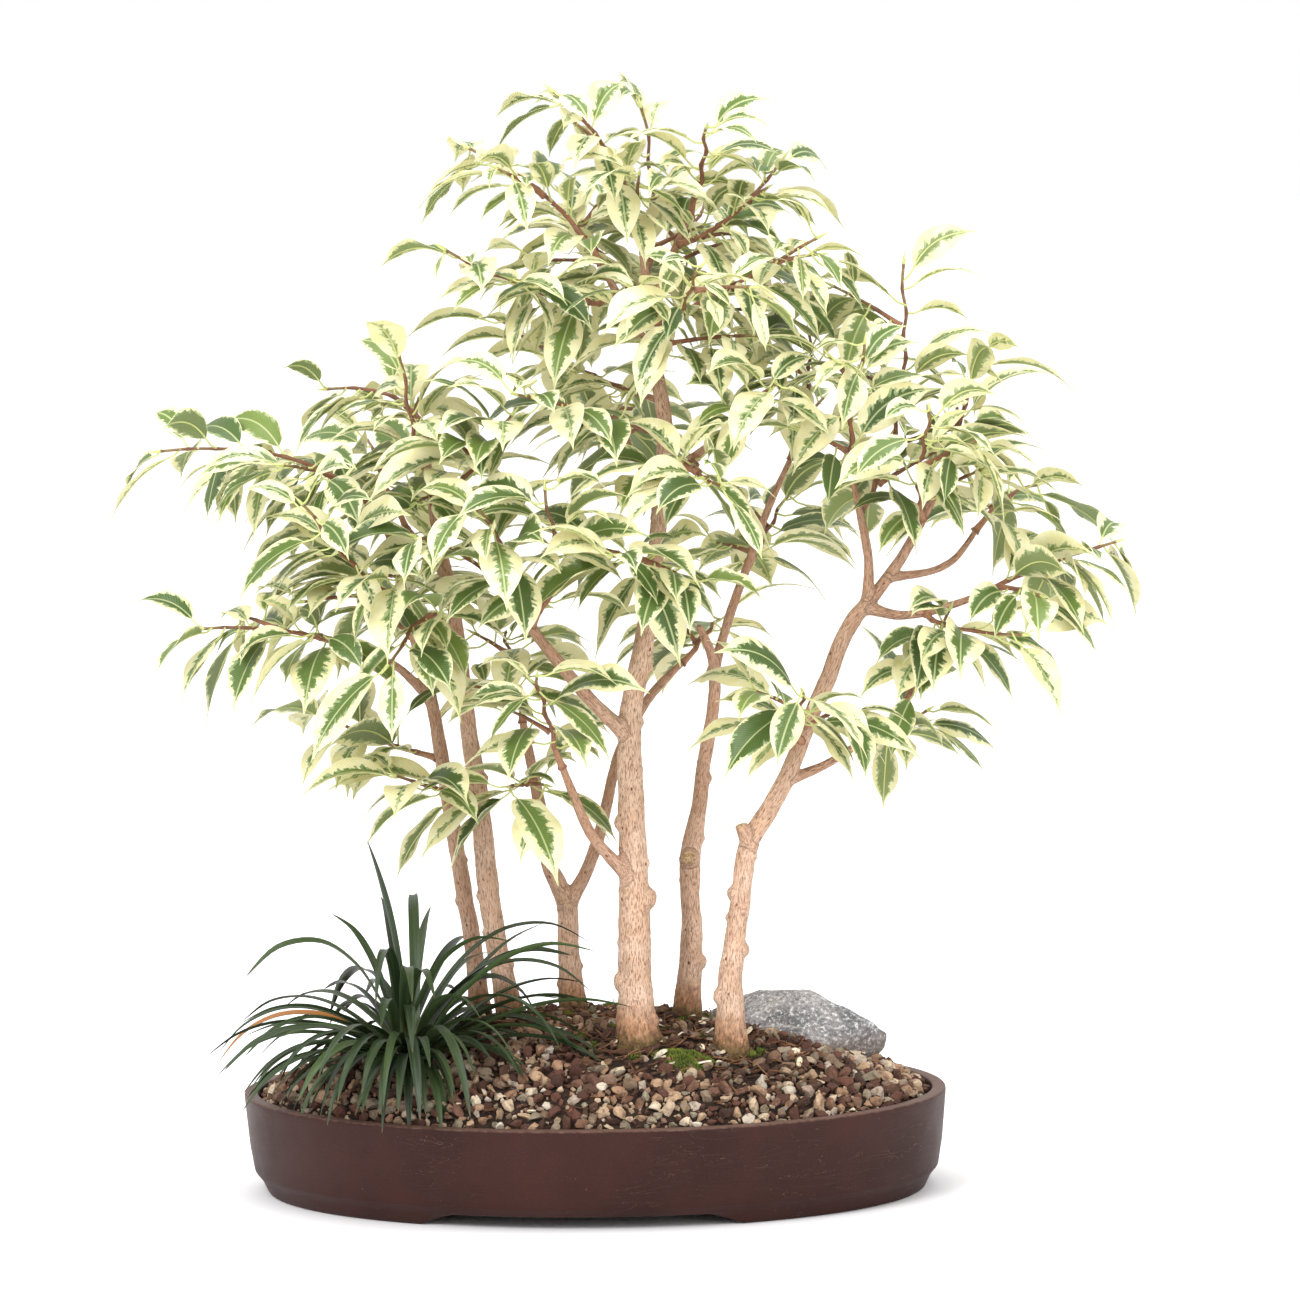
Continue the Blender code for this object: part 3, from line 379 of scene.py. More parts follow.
class Shoot:
    """One twig with its side twigs and leaves: a closed skin grown from one base ring."""

    def __init__(self, run, first_direction):
        self.points, self.faces, self.leaves, self.twigs = [], [], [], []
        self.sides = {}
        rings = tube_rings(run, 3, first_direction)
        base = self.put(rings[0])
        self.faces.append(tuple(reversed(base)))
        self.climb(base, run, rings, 0)

    def put(self, ring):
        self.points += ring
        return list(range(len(self.points) - len(ring), len(self.points)))

    def climb(self, base, run, rings, name):
        """Twig walls from the base ring to a closed end; each wall is two triangles."""
        self.twigs.append(run)
        ring = base
        for i in range(1, len(run)):
            upper = self.put(rings[i])
            for k in range(3):
                n = (k + 1) % 3
                self.wall(name, i, (ring[k], ring[n], upper[n]))
                self.wall(name, i, (ring[k], upper[n], upper[k]))
            ring = upper
        self.faces.append(tuple(ring))

    def wall(self, name, i, face):
        self.faces.append(face)
        self.sides.setdefault((name, i), []).append(face)

    def socket(self, name, i, out):
        """The free wall triangle of that stretch which faces out the most."""
        free = [f for f in self.sides.get((name, i), []) if f in self.faces]

        def facing(face):
            a, b, c = (self.points[v] for v in face)
            return (b - a).cross(c - a).normalized().dot(out)

        return max(free, key=facing)

    def centre(self, face):
        return sum((self.points[v] for v in face), Vector()) / 3

    def raise_ring(self, ring, corners):
        """Skins from a ring of three to new corners, matched so that it isn't twisted."""
        upper = self.put(matched([self.points[v] for v in ring], corners))
        for k in range(3):
            n = (k + 1) % 3
            self.faces.append((ring[k], ring[n], upper[n]))
            self.faces.append((ring[k], upper[n], upper[k]))
        return upper

    def grow_leaf(self, face, leaf):
        self.faces.remove(face)
        ring = self.raise_ring(list(face), leaf["collar"])
        ring = self.raise_ring(ring, leaf["middle"])
        self.points.append(leaf["tip"])
        tip = len(self.points) - 1
        for k in range(3):
            self.faces.append((ring[k], ring[(k + 1) % 3], tip))
        self.leaves.append(leaf)

    def grow_side_twig(self, face, run, name):
        self.faces.remove(face)
        rings = tube_rings(run, 3)
        base = self.raise_ring(list(face), rings[0])
        self.climb(base, run, rings, name)

# %% Leaves and the room they need
def leaf_shape(root, along, up, length, petiole):
    """A leaf's corners: a thin petiole, the widest place of the blade and its drip tip."""
    normal = (up - along * up.dot(along)).normalized()
    across = normal.cross(along)
    base = root + along * petiole
    middle = base + along * 0.42 * length
    fall = (along - Vector((0, 0, 0.6))).normalized()
    half = LEAF_WIDTH_SHARE * length / 2
    return {
        "root": root,
        "base": base,
        "across": across,
        "normal": normal,
        "collar": [base + across * 0.0007, base - across * 0.0007, base - normal * 0.0008],
        "middle": [middle + across * half, middle - across * half, middle - normal * LEAF_THICKNESS],
        "centre": middle,
        "tip": middle + fall * 0.58 * length,
        "half": half,
    }


def web_of(corners, ring, share):
    """The skin between a wall triangle and the first ring grown from it, clear of the wall by share."""
    middle = sum(ring, Vector()) / 3
    near = [corner.lerp(middle, share) for corner in corners]
    return loft([near, matched(near, ring)])


def both(first, second):
    """Two shapes as one list of points and faces."""
    shift = len(first[0])
    return first[0] + second[0], first[1] + [tuple(v + shift for v in f) for f in second[1]]


def room_for(leaf, root):
    """The leaf with the room that it needs, from a third of its petiole outwards."""
    across, normal, room = leaf["across"], leaf["normal"], LEAF_ROOM
    rings = [root + (leaf["base"] - root) * 0.4, leaf["base"], leaf["centre"]]
    halves = (0.0009, 0.0007 + room, leaf["half"] + room)
    points = []
    for centre, half in zip(rings, halves):
        points += [centre + across * half, centre + normal * room * 1.2,
                   centre - across * half, centre - normal * (LEAF_THICKNESS + room)]
    points.append(leaf["tip"] + (leaf["tip"] - leaf["centre"]).normalized() * room)
    faces = [(0, 3, 2, 1)]
    for low in (0, 4):
        for k in range(4):
            n = (k + 1) % 4
            faces.append((low + k, low + n, low + 4 + n, low + 4 + k))
    faces += [(8 + k, 8 + (k + 1) % 4, 12) for k in range(4)]
    return points, faces


def leaf_length(height, rng):
    """Leaves are long low down, where they are old, and short at the top."""
    share = min(max((height - 0.22) / 0.28, 0), 1)
    return (LEAF_LONG + (LEAF_SHORT - LEAF_LONG) * share) * rng.uniform(0.72, 1.2)


def add_leaves(shoot, name, run, crowded, rng, first):
    """One leaf at each node, on alternate sides, wherever there is room for it."""
    side = rng.choice((-1, 1))
    for i in range(first, len(run)):
        side = -side
        along = direction_at(run, i)
        level = level_beside(along, side)
        ends = i == len(run) - 1
        for attempt in range(LEAF_TRIES):
            lean = rng.uniform(-0.5, 0.6)
            out = (level * side * rng.uniform(0.6, 1.1) + Vector((0, 0, lean))).normalized()
            forward = 1.3 if ends else rng.uniform(0.1, 0.75)
            droop = rng.uniform(-0.1, 0.85) + (0.3 if ends else 0)
            aim = (along * forward + out - Vector((0, 0, droop))).normalized()
            face = shoot.socket(name, i, (aim + out).normalized())
            root = shoot.centre(face)
            away = Vector((root.x, root.y, 0)) * 4
            up = Vector((rng.uniform(-0.35, 0.35), rng.uniform(-0.35, 0.35), 0.9)) + away
            length = leaf_length(root.z, rng) * (1 - 0.012 * attempt)
            leaf = leaf_shape(root, aim, up, length, PETIOLE * rng.uniform(0.85, 1.3))
            room = room_for(leaf, root)
            wall = [shoot.points[v] for v in face]
            web = web_of(wall, leaf["collar"], 0.22)
            if not folds(wall, leaf["collar"]) and crowded.is_free(*both(web, room)):
                shoot.grow_leaf(face, leaf)
                crowded.add(*both(web_of(wall, leaf["collar"], 0), room))
                break
            side = -side if attempt % 2 else side

# %% Side twigs and main twigs
def add_side_twigs(shoot, run, crowded, rng):
    """Short twigs from every third node, swept forward and a little up."""
    made = []
    length = (run[-1][0] - run[0][0]).length
    side = rng.choice((-1, 1))
    for i in range(2, len(run) - 2, 3):
        side = -side
        along = direction_at(run, i)
        level = level_beside(along, side)
        reach = length * SIDE_TWIG_SHARE * (1 - 0.4 * i / len(run)) * rng.uniform(0.8, 1.2)
        for _ in range(LEAF_TRIES):
            tilt = rng.uniform(-0.3, 0.6)
            aim = (along * 0.7 + level * side + Vector((0, 0, tilt))).normalized()
            face = shoot.socket(0, i, aim)
            start = shoot.centre(face) + aim * 0.0035
            steps = max(2, round(reach / (INTERNODE * 1.25)))
            side_run = [
                (start + aim * reach * k / steps - Vector((0, 0, 0.1 * reach * (k / steps) ** 2)),
                 TWIG_RADIUS * (0.75 - 0.3 * k / steps))
                for k in range(steps + 1)
            ]
            room = tube([(p, r + LEAF_ROOM) for p, r in side_run], 3)
            wall = [shoot.points[v] for v in face]
            base = tube_rings(side_run, 3)[0]
            if not folds(wall, base) and crowded.is_free(*both(web_of(wall, base, 0.22), room)):
                made.append((len(made) + 1, side_run))
                shoot.grow_side_twig(face, side_run, len(made))
                crowded.add(*both(web_of(wall, base, 0), room))
                break
            side = -side
    return made


def stem_run(tree, index):
    knots = list(TREES[tree][index])
    if index == 0:
        x, y, _, radius = knots[0]
        foot = mound(x * MM, y * MM) - ROOT_DEPTH
        knots.insert(0, (x, y, foot / MM, radius * 0.92))
    return through(knots, 2)


def place_on(run, share):
    """The point, radius and direction that share of the way along a run's knots."""
    at = share * (len(run) - 1)
    i = min(int(at), len(run) - 2)
    t = at - i
    point = run[i][0].lerp(run[i + 1][0], t)
    radius = run[i][1] + (run[i + 1][1] - run[i][1]) * t
    return point, radius, (run[i + 1][0] - run[i][0]).normalized()


def main_twig(tree, index, share, end, crowded):
    """A shoot's main twig, swung aside in steps where another stem is in its way."""
    centre, radius, along = place_on(stem_run(tree, index), share)
    target = Vector(end) * MM
    if share == 1:
        out = along
        start = centre + out * GAP
    else:
        out = target - centre
        out = (out - along * out.dot(along)).normalized()
        start = centre + out * (radius + GAP)
    for swing in (0, 8, -8, 16, -16, 24, -24, 32, -32):
        aside = (target - start).cross(Vector((0, 0, 1))).normalized()
        run = twig_run(start, out, target + aside * swing * MM)
        room = tube([(p + (out * 0.002 if k == 0 else Vector()), r + LEAF_ROOM)
                     for k, (p, r) in enumerate(run)], 3)
        if crowded.is_free(*room):
            break
    else:
        print("no free way for a twig of", tree, index, share)
    crowded.add(*room)
    return run, out


def grow_shoots(crowded):
    """Every shoot: all main twigs first, then side twigs, then leaves, so that none cross."""
    rng = random.Random(43)
    shoots = []
    for tree, index, share, end in SHOOTS:
        run, out = main_twig(tree, index, share, end, crowded)
        shoots.append((tree, Shoot(run, out)))
    sides = [add_side_twigs(shoot, shoot.twigs[0], crowded, rng) for _, shoot in shoots]
    for (_, shoot), twigs in zip(shoots, sides):
        add_leaves(shoot, 0, shoot.twigs[0], crowded, rng, 2)
        for name, run in twigs:
            add_leaves(shoot, name, run, crowded, rng, 1)
    return shoots

# %% The bed: mound, tray profile and stone
def tray_shape():
    """The bowl in one loft: underside, foot, outer wall, rim, inner wall and floor."""
    lean = LEDGE_IN + TRAY_DRAFT
    foot_in = lean + FOOT_LEAN
    inner = TRAY_WALL + TRAY_DRAFT
    floor = FOOT_HEIGHT + TRAY_FLOOR
    profile = [
        (foot_in + FOOT_WIDTH + 0.03, FOOT_HEIGHT),
        (foot_in + FOOT_WIDTH + 0.001, FOOT_HEIGHT),
        (foot_in + FOOT_WIDTH, 0),
        (foot_in + 0.0008, 0),
        (foot_in, 0.0008),
        (lean, LEDGE_HEIGHT),
        (TRAY_DRAFT, LEDGE_HEIGHT + 0.004),
        (TRAY_DRAFT * 0.5, TRAY_HEIGHT * 0.48),
        (0, TRAY_HEIGHT - 0.004),
        (0, TRAY_HEIGHT - 0.0014),
        (0.0014, TRAY_HEIGHT),
        (TRAY_WALL - 0.0014, TRAY_HEIGHT),
        (TRAY_WALL, TRAY_HEIGHT - 0.0014),
        (inner, floor + 0.008),
        (inner + 0.006, floor),
        (inner + 0.04, floor),
    ]
    return loft([outline_at(inset, height) for inset, height in profile])


def drain_centres():
    return [Vector((sign * DRAIN_SPACING / 2, 0, 0)) for sign in (-1, 1)]


def bed_half():
    """Half the length and half the width of the soil where it meets the wall."""
    inset = TRAY_WALL + TRAY_DRAFT * SOIL_BELOW_RIM / TRAY_HEIGHT + GAP + 0.0004
    return TRAY_LENGTH / 2 - inset, TRAY_WIDTH / 2 - inset


def mound(x, y):
    """The height of the soil's surface."""
    half_length, half_width = bed_half()
    inside = max(1 - (x / half_length) ** 2 - (y / half_width) ** 2, 0)
    return TRAY_HEIGHT - SOIL_BELOW_RIM + MOUND_RISE * inside**0.85


def soil_shape():
    floor = FOOT_HEIGHT + TRAY_FLOOR + GAP
    inner = TRAY_WALL + TRAY_DRAFT + GAP + 0.0004
    rings = [
        outline_at(inner + 0.04, floor),
        outline_at(inner + 0.0065, floor),
        outline_at(inner, floor + 0.0085),
    ]
    half_length, half_width = bed_half()
    for share in (1.0, 0.92, 0.78, 0.58, 0.32):
        ring = oval(half_length * share, half_width * share, 0)
        rings.append([Vector((p.x, p.y, mound(p.x, p.y) - (0.0006 if share == 1 else 0)))
                      for p in ring])
    return loft(rings)

# %% The grass tuft's centre lines
def tuft_centre():
    half_length, half_width = bed_half()
    x, y = TUFT_PLACE[0] * half_length, TUFT_PLACE[1] * half_width
    return Vector((x, y, mound(x, y)))


def crown_shape(extra=0.0):
    """The tuft's rooted crown: a low dome with a blunt root end in the soil."""
    centre = tuft_centre()
    profile = [(0.55, -0.9), (0.95, -0.5), (1.0, 0.25), (0.84, 0.7), (0.52, 1.05), (0.16, 1.2)]
    rings = []
    for share, height in profile:
        radius = TUFT_RADIUS * share + extra
        rings.append([
            centre + Vector((radius * math.cos(math.tau * k / 12), radius * math.sin(math.tau * k / 12),
                             TUFT_RADIUS * height + (extra if height > 0 else -extra)))
            for k in range(12)
        ])
    return loft(rings)


def blade_run(root, out, length, droop):
    """A strap leaf's centre line: it leaves the crown along out and bows over."""
    run = []
    heading = out.copy()
    point = root.copy()
    for k in range(5):
        run.append((point.copy(), heading.copy()))
        heading = (heading - Vector((0, 0, droop * (0.5 + 0.4 * k)))).normalized()
        point = point + heading * length / 5
    run.append((point, heading))
    return run


def blade_rings(run, width, room=0.0):
    rings = []
    for k, (point, heading) in enumerate(run[1:5]):
        across = heading.cross(Vector((0, 0, 1))).normalized()
        normal = across.cross(heading).normalized()
        half = width / 2 * (0.62, 0.95, 1.0, 0.72)[k] + room
        rings.append([point - across * half + normal * room, point + across * half + normal * room,
                      point - normal * (0.0011 + room)])
    return rings


class Tuft(Shoot):
    """The crown's free wall triangles, and the centre line of each blade that grew from one."""

    def __init__(self):
        self.points, faces = crown_shape()
        self.free = []
        self.blades = []
        for a, b, c, d in (face for face in faces if len(face) == 4):
            for half in ((a, b, c), (a, c, d)):
                corners = [self.points[v] for v in half]
                if min(p.z - mound(p.x, p.y) for p in corners) > GAP:
                    self.free.append(half)


BLADE_TRIES = 30


def grow_tuft(crowded):
    rng = random.Random(12)
    tuft = Tuft()
    places = sorted(tuft.free, key=lambda face: -tuft.centre(face).z)
    rng.shuffle(places)
    middle = tuft_centre() - Vector((0, 0, TUFT_RADIUS * 0.6))
    for face in places[:BLADE_COUNT]:
        root = tuft.centre(face)
        out = (root - middle).normalized()
        for _ in range(BLADE_TRIES):
            aside = Vector((rng.uniform(-0.6, 0.6), rng.uniform(-0.6, 0.6), 0.1))
            aim = (Vector((out.x * 1.7, out.y * 1.7, out.z)) + aside).normalized()
            run = blade_run(root, aim, BLADE_LENGTH * rng.uniform(0.75, 1.2), rng.uniform(0.10, 0.42))
            rings = blade_rings(run, BLADE_WIDTH, LEAF_ROOM / 2)
            points = [p for ring in rings for p in ring] + [run[-1][0]]
            faces = [(0, 2, 1)]
            for low in range(0, 9, 3):
                faces += [(low + k, low + (k + 1) % 3, low + 3 + (k + 1) % 3, low + 3 + k)
                          for k in range(3)]
            faces += [(9 + k, 9 + (k + 1) % 3, 12) for k in range(3)]
            corners = [tuft.points[v] for v in face]
            web = web_of(corners, rings[0], 0.1)
            high_enough = run[-1][0].z > TRAY_HEIGHT * 0.8 and not folds(corners, rings[0])
            if high_enough and crowded.is_free(*both(web, (points, faces))):
                tuft.blades.append((run, BLADE_WIDTH))
                crowded.add(*both(web_of(corners, rings[0], 0), (points, faces)))
                break
    return tuft

# %% Grow everything once
crowded = Crowded()
crowded.add(*tray_shape())
crowded.add(*soil_shape())
for tree, stems in TREES.items():
    for index in range(len(stems)):
        crowded.add(*tube([(p, r + GAP) for p, r in stem_run(tree, index)], TRUNK_SIDES))
tuft = grow_tuft(crowded)
shoots = grow_shoots(crowded)
shoot_names = []
for tree, _ in shoots:
    shoot_names.append(f"{tree}_shoot_{sum(n.startswith(tree) for n in shoot_names) + 1:02d}")
drift = 0
for name, (_, shoot) in zip(shoot_names, shoots):
    low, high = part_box(name)
    for axis in range(3):
        grown = [p[axis] + TRAY_MIDDLE[axis] for p in shoot.points]
        drift = max(drift, abs(min(grown) - low[axis]), abs(max(grown) - high[axis]))
print(sum(len(shoot.leaves) for _, shoot in shoots), "leaves; furthest from the packed model:",
      round(drift / MM, 3), "mm")

# %% [markdown]
# ## More leaves between the old ones
#
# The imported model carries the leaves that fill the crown's outline. A real crown also holds
# younger, shorter leaves between them. They grow from the same twigs wherever the air is
# still free, with their own random seed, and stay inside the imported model's box.

# %% Young leaves
YOUNG_SHARE = (0.62, 0.98)  # of the length that an old leaf would have there
YOUNG_TRIES = 9


def young_leaf(run, i, side, rng):
    """One try at a leaf from the twig's surface at node i."""
    point, radius = run[i]
    along = direction_at(run, i)
    level = level_beside(along, side)
    out = (level * side * rng.uniform(0.3, 1.1) + Vector((0, 0, rng.uniform(-0.7, 0.9)))).normalized()
    out = (out - along * out.dot(along)).normalized()
    droop = rng.uniform(-0.2, 0.8)
    aim = (along * rng.uniform(0.1, 1.0) + out - Vector((0, 0, droop))).normalized()
    root = point + out * radius
    up = Vector((rng.uniform(-0.4, 0.4), rng.uniform(-0.4, 0.4), 0.9)) + Vector((root.x, root.y, 0)) * 4
    length = leaf_length(root.z, rng) * rng.uniform(*YOUNG_SHARE)
    return leaf_shape(root, aim, up, length, PETIOLE * rng.uniform(0.7, 1.3))


def inside_box(leaf):
    tip = leaf["tip"] + TRAY_MIDDLE
    return all(cad_low[i] <= tip[i] <= cad_high[i] for i in range(3))


def add_young_leaves(shoots, crowded):
    rng = random.Random(77)
    added = []
    for _, shoot in shoots:
        young = []
        for run in shoot.twigs:
            for i in range(1, len(run)):
                for _ in range(YOUNG_TRIES):
                    leaf = young_leaf(run, i, rng.choice((-1, 1)), rng)
                    room = room_for(leaf, leaf["root"])
                    if inside_box(leaf) and crowded.is_free(*room):
                        crowded.add(*room)
                        young.append(leaf)
                        break
        added.append(young)
    return added


young_leaves = add_young_leaves(shoots, crowded)
print(sum(len(young) for young in young_leaves), "young leaves")

# %% [markdown]
# ## Two helpers: one for meshes, one for finishes
#
# Most pieces here are gatherings of many small shapes, such as leaves or grains. A small
# class collects their points and faces, with values on the points that the finishes read
# later: where on a leaf a point lies, or which tint a grain has.

# %% Gather small shapes into one mesh
def stand(name, data):
    """Puts a mesh, lamp or camera into the scene."""
    made = bpy.data.objects.new(name, data)
    bpy.context.scene.collection.objects.link(made)
    return made


def keep_values(mesh, place, own):
    """Stores the two vector values of every point on the mesh."""
    for label, values in (("place", place), ("own", own)):
        layer = mesh.attributes.new(label, "FLOAT_VECTOR", "POINT")
        layer.data.foreach_set("vector", values.ravel().astype(np.float32))


class Gathering:
    """Points, faces and two vector values per point, collected and made into one piece."""

    def __init__(self):
        self.points, self.place, self.own = [], [], []
        self.faces, self.looks = [], []
        self.count = 0

    def add(self, points, faces, place=(0, 0, 0), own=(0, 0, 0), look=0):
        points = np.asarray(points, float).reshape(-1, 3)
        self.points.append(points)
        self.place.append(np.broadcast_to(np.asarray(place, float), points.shape))
        self.own.append(np.broadcast_to(np.asarray(own, float), points.shape))
        start = self.count
        self.faces += [tuple([v + start for v in face]) for face in faces]
        self.looks += [look] * len(faces)
        self.count += len(points)

    def piece(self, name, looks, angle=60):
        points = np.concatenate(self.points) + np.array(TRAY_MIDDLE)
        mesh = bpy.data.meshes.new(name)
        mesh.from_pydata(points.tolist(), [], self.faces)
        keep_values(mesh, np.concatenate(self.place), np.concatenate(self.own))
        for look in looks:
            mesh.materials.append(look)
        mesh.polygons.foreach_set("material_index", self.looks)
        mesh.shade_smooth()
        mesh.set_sharp_from_angle(angle=math.radians(angle))
        return stand(name, mesh)


def dress(made, slot, *nodes):
    """A finished piece rides on the one body and stands for its plain nodes, which it hides. The slot is not
    used.
    """
    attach(made, "root")
    if nodes:
        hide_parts(*nodes)
    made.data.update()
    print(made.name, len(made.data.polygons), "faces")


# %% Mix finishes from nodes
def shade(red, green, blue):
    """A colour given as on a screen, 0 to 255, in the linear values that a shader takes."""
    values = [v / 255 for v in (red, green, blue)]
    return (*[v / 12.92 if v <= 0.04045 else ((v + 0.055) / 1.055) ** 2.4 for v in values], 1.0)


class Finish:
    """A material with short ways to add its nodes."""

    def __init__(self, name, roughness):
        self.look = bpy.data.materials.new(name)
        self.look.use_nodes = True
        self.tree = self.look.node_tree
        self.shader = self.tree.nodes["Principled BSDF"]
        self.shader.inputs["Roughness"].default_value = roughness

    def feed(self, socket, value):
        if isinstance(value, bpy.types.NodeSocket):
            self.tree.links.new(value, socket)
        else:
            socket.default_value = value

    def set(self, name, value):
        self.feed(self.shader.inputs[name], value)

    def node(self, kind, inputs, output=0, **settings):
        """A new node with its settings and inputs, and one of its outputs."""
        made = self.tree.nodes.new("ShaderNode" + kind)
        for name, value in settings.items():
            setattr(made, name, value)
        for key, value in inputs.items():
            self.feed(made.inputs[key], value)
        return made.outputs[output]

    def math(self, operation, *values):
        return self.node("Math", dict(enumerate(values)), operation=operation)

    def vector(self, operation, *values):
        return self.node("VectorMath", dict(enumerate(values)), operation=operation)

    def attribute(self, name):
        return self.node("Attribute", {}, "Vector", attribute_name=name)

    def split(self, value):
        made = self.tree.nodes.new("ShaderNodeSeparateXYZ")
        self.feed(made.inputs[0], value)
        return made.outputs

    def join(self, *values):
        return self.node("CombineXYZ", dict(enumerate(values)))

    def object_mm(self):
        return self.vector("MULTIPLY", self.node("TexCoord", {}, "Object"), (1000, 1000, 1000))

    def noise(self, place, scale, detail=3.0, rough=0.55, distortion=0.0):
        return self.node("TexNoise", {"Vector": place, "Scale": scale, "Detail": detail,
                                      "Roughness": rough, "Distortion": distortion})

    def cells(self, place, scale):
        return self.node("TexVoronoi", {"Vector": place, "Scale": scale}, "Distance")

    def chance(self, place):
        """An even random number for each whole-number place."""
        return self.node("TexWhiteNoise", {"Vector": place}, "Value")

    def rise(self, value, low, high, start=0.0, end=1.0):
        """start below low, end above high, and a smooth way between."""
        return self.node("MapRange", dict(enumerate((value, low, high, start, end))),
                         interpolation_type="SMOOTHSTEP")

    def mix(self, share, first, second):
        return self.node("Mix", {0: share, 6: first, 7: second}, 2, data_type="RGBA")

    def wash(self, colour, tint, value, low, high, start=0.0, end=1.0):
        """Another tint over the colour wherever the value rises."""
        return self.mix(self.rise(value, low, high, start, end), colour, shade(*tint))

    def ramp(self, value, stops):
        """Colours in bands by value; a stop's tint is three parts of 255 or one plain share."""
        made = self.tree.nodes.new("ShaderNodeValToRGB")
        bands = made.color_ramp.elements
        while len(bands) < len(stops):
            bands.new(0.5)
        for band, (place, tint) in zip(bands, stops):
            band.position = place
            band.color = shade(*tint) if isinstance(tint, tuple) else (tint, tint, tint, 1)
        self.feed(made.inputs[0], value)
        return made.outputs[0]

    def bump(self, height, depth_mm, strength=1.0):
        self.set("Normal", self.node("Bump", {"Strength": strength, "Distance": depth_mm * MM,
                                              "Height": height}))

    def translucent(self, share, colour):
        """Lets some of the light through to the other side, as a thin leaf does."""
        behind = self.tree.nodes.new("ShaderNodeBsdfTranslucent")
        self.feed(behind.inputs["Color"], colour)
        mixed = self.tree.nodes.new("ShaderNodeMixShader")
        mixed.inputs[0].default_value = share
        self.tree.links.new(self.shader.outputs[0], mixed.inputs[1])
        self.tree.links.new(behind.outputs[0], mixed.inputs[2])
        self.tree.links.new(mixed.outputs[0], self.tree.nodes["Material Output"].inputs["Surface"])


# %% [markdown]
# ## The leaf's marbling
#
# A marbled leaf has a green middle and a cream margin. The edge between them isn't smooth:
# cells of one kind fill whole stripes between two side veins, so the green ends in teeth that
# follow the veins, and lighter grey-green patches lie where only the lower layers are green.
# Painting each leaf by hand would be endless. Here each point knows its place on its own
# blade, in millimetres, and the finish works out the teeth from that: it counts the vein
# stripe, draws one random number for it, and moves the green's edge by that much.

# %% Leaf finish
VEIN_SLANT = 0.62  # how far a side vein climbs along the leaf for each millimetre outwards
VEIN_STEP = 1.35  # millimetres between side veins


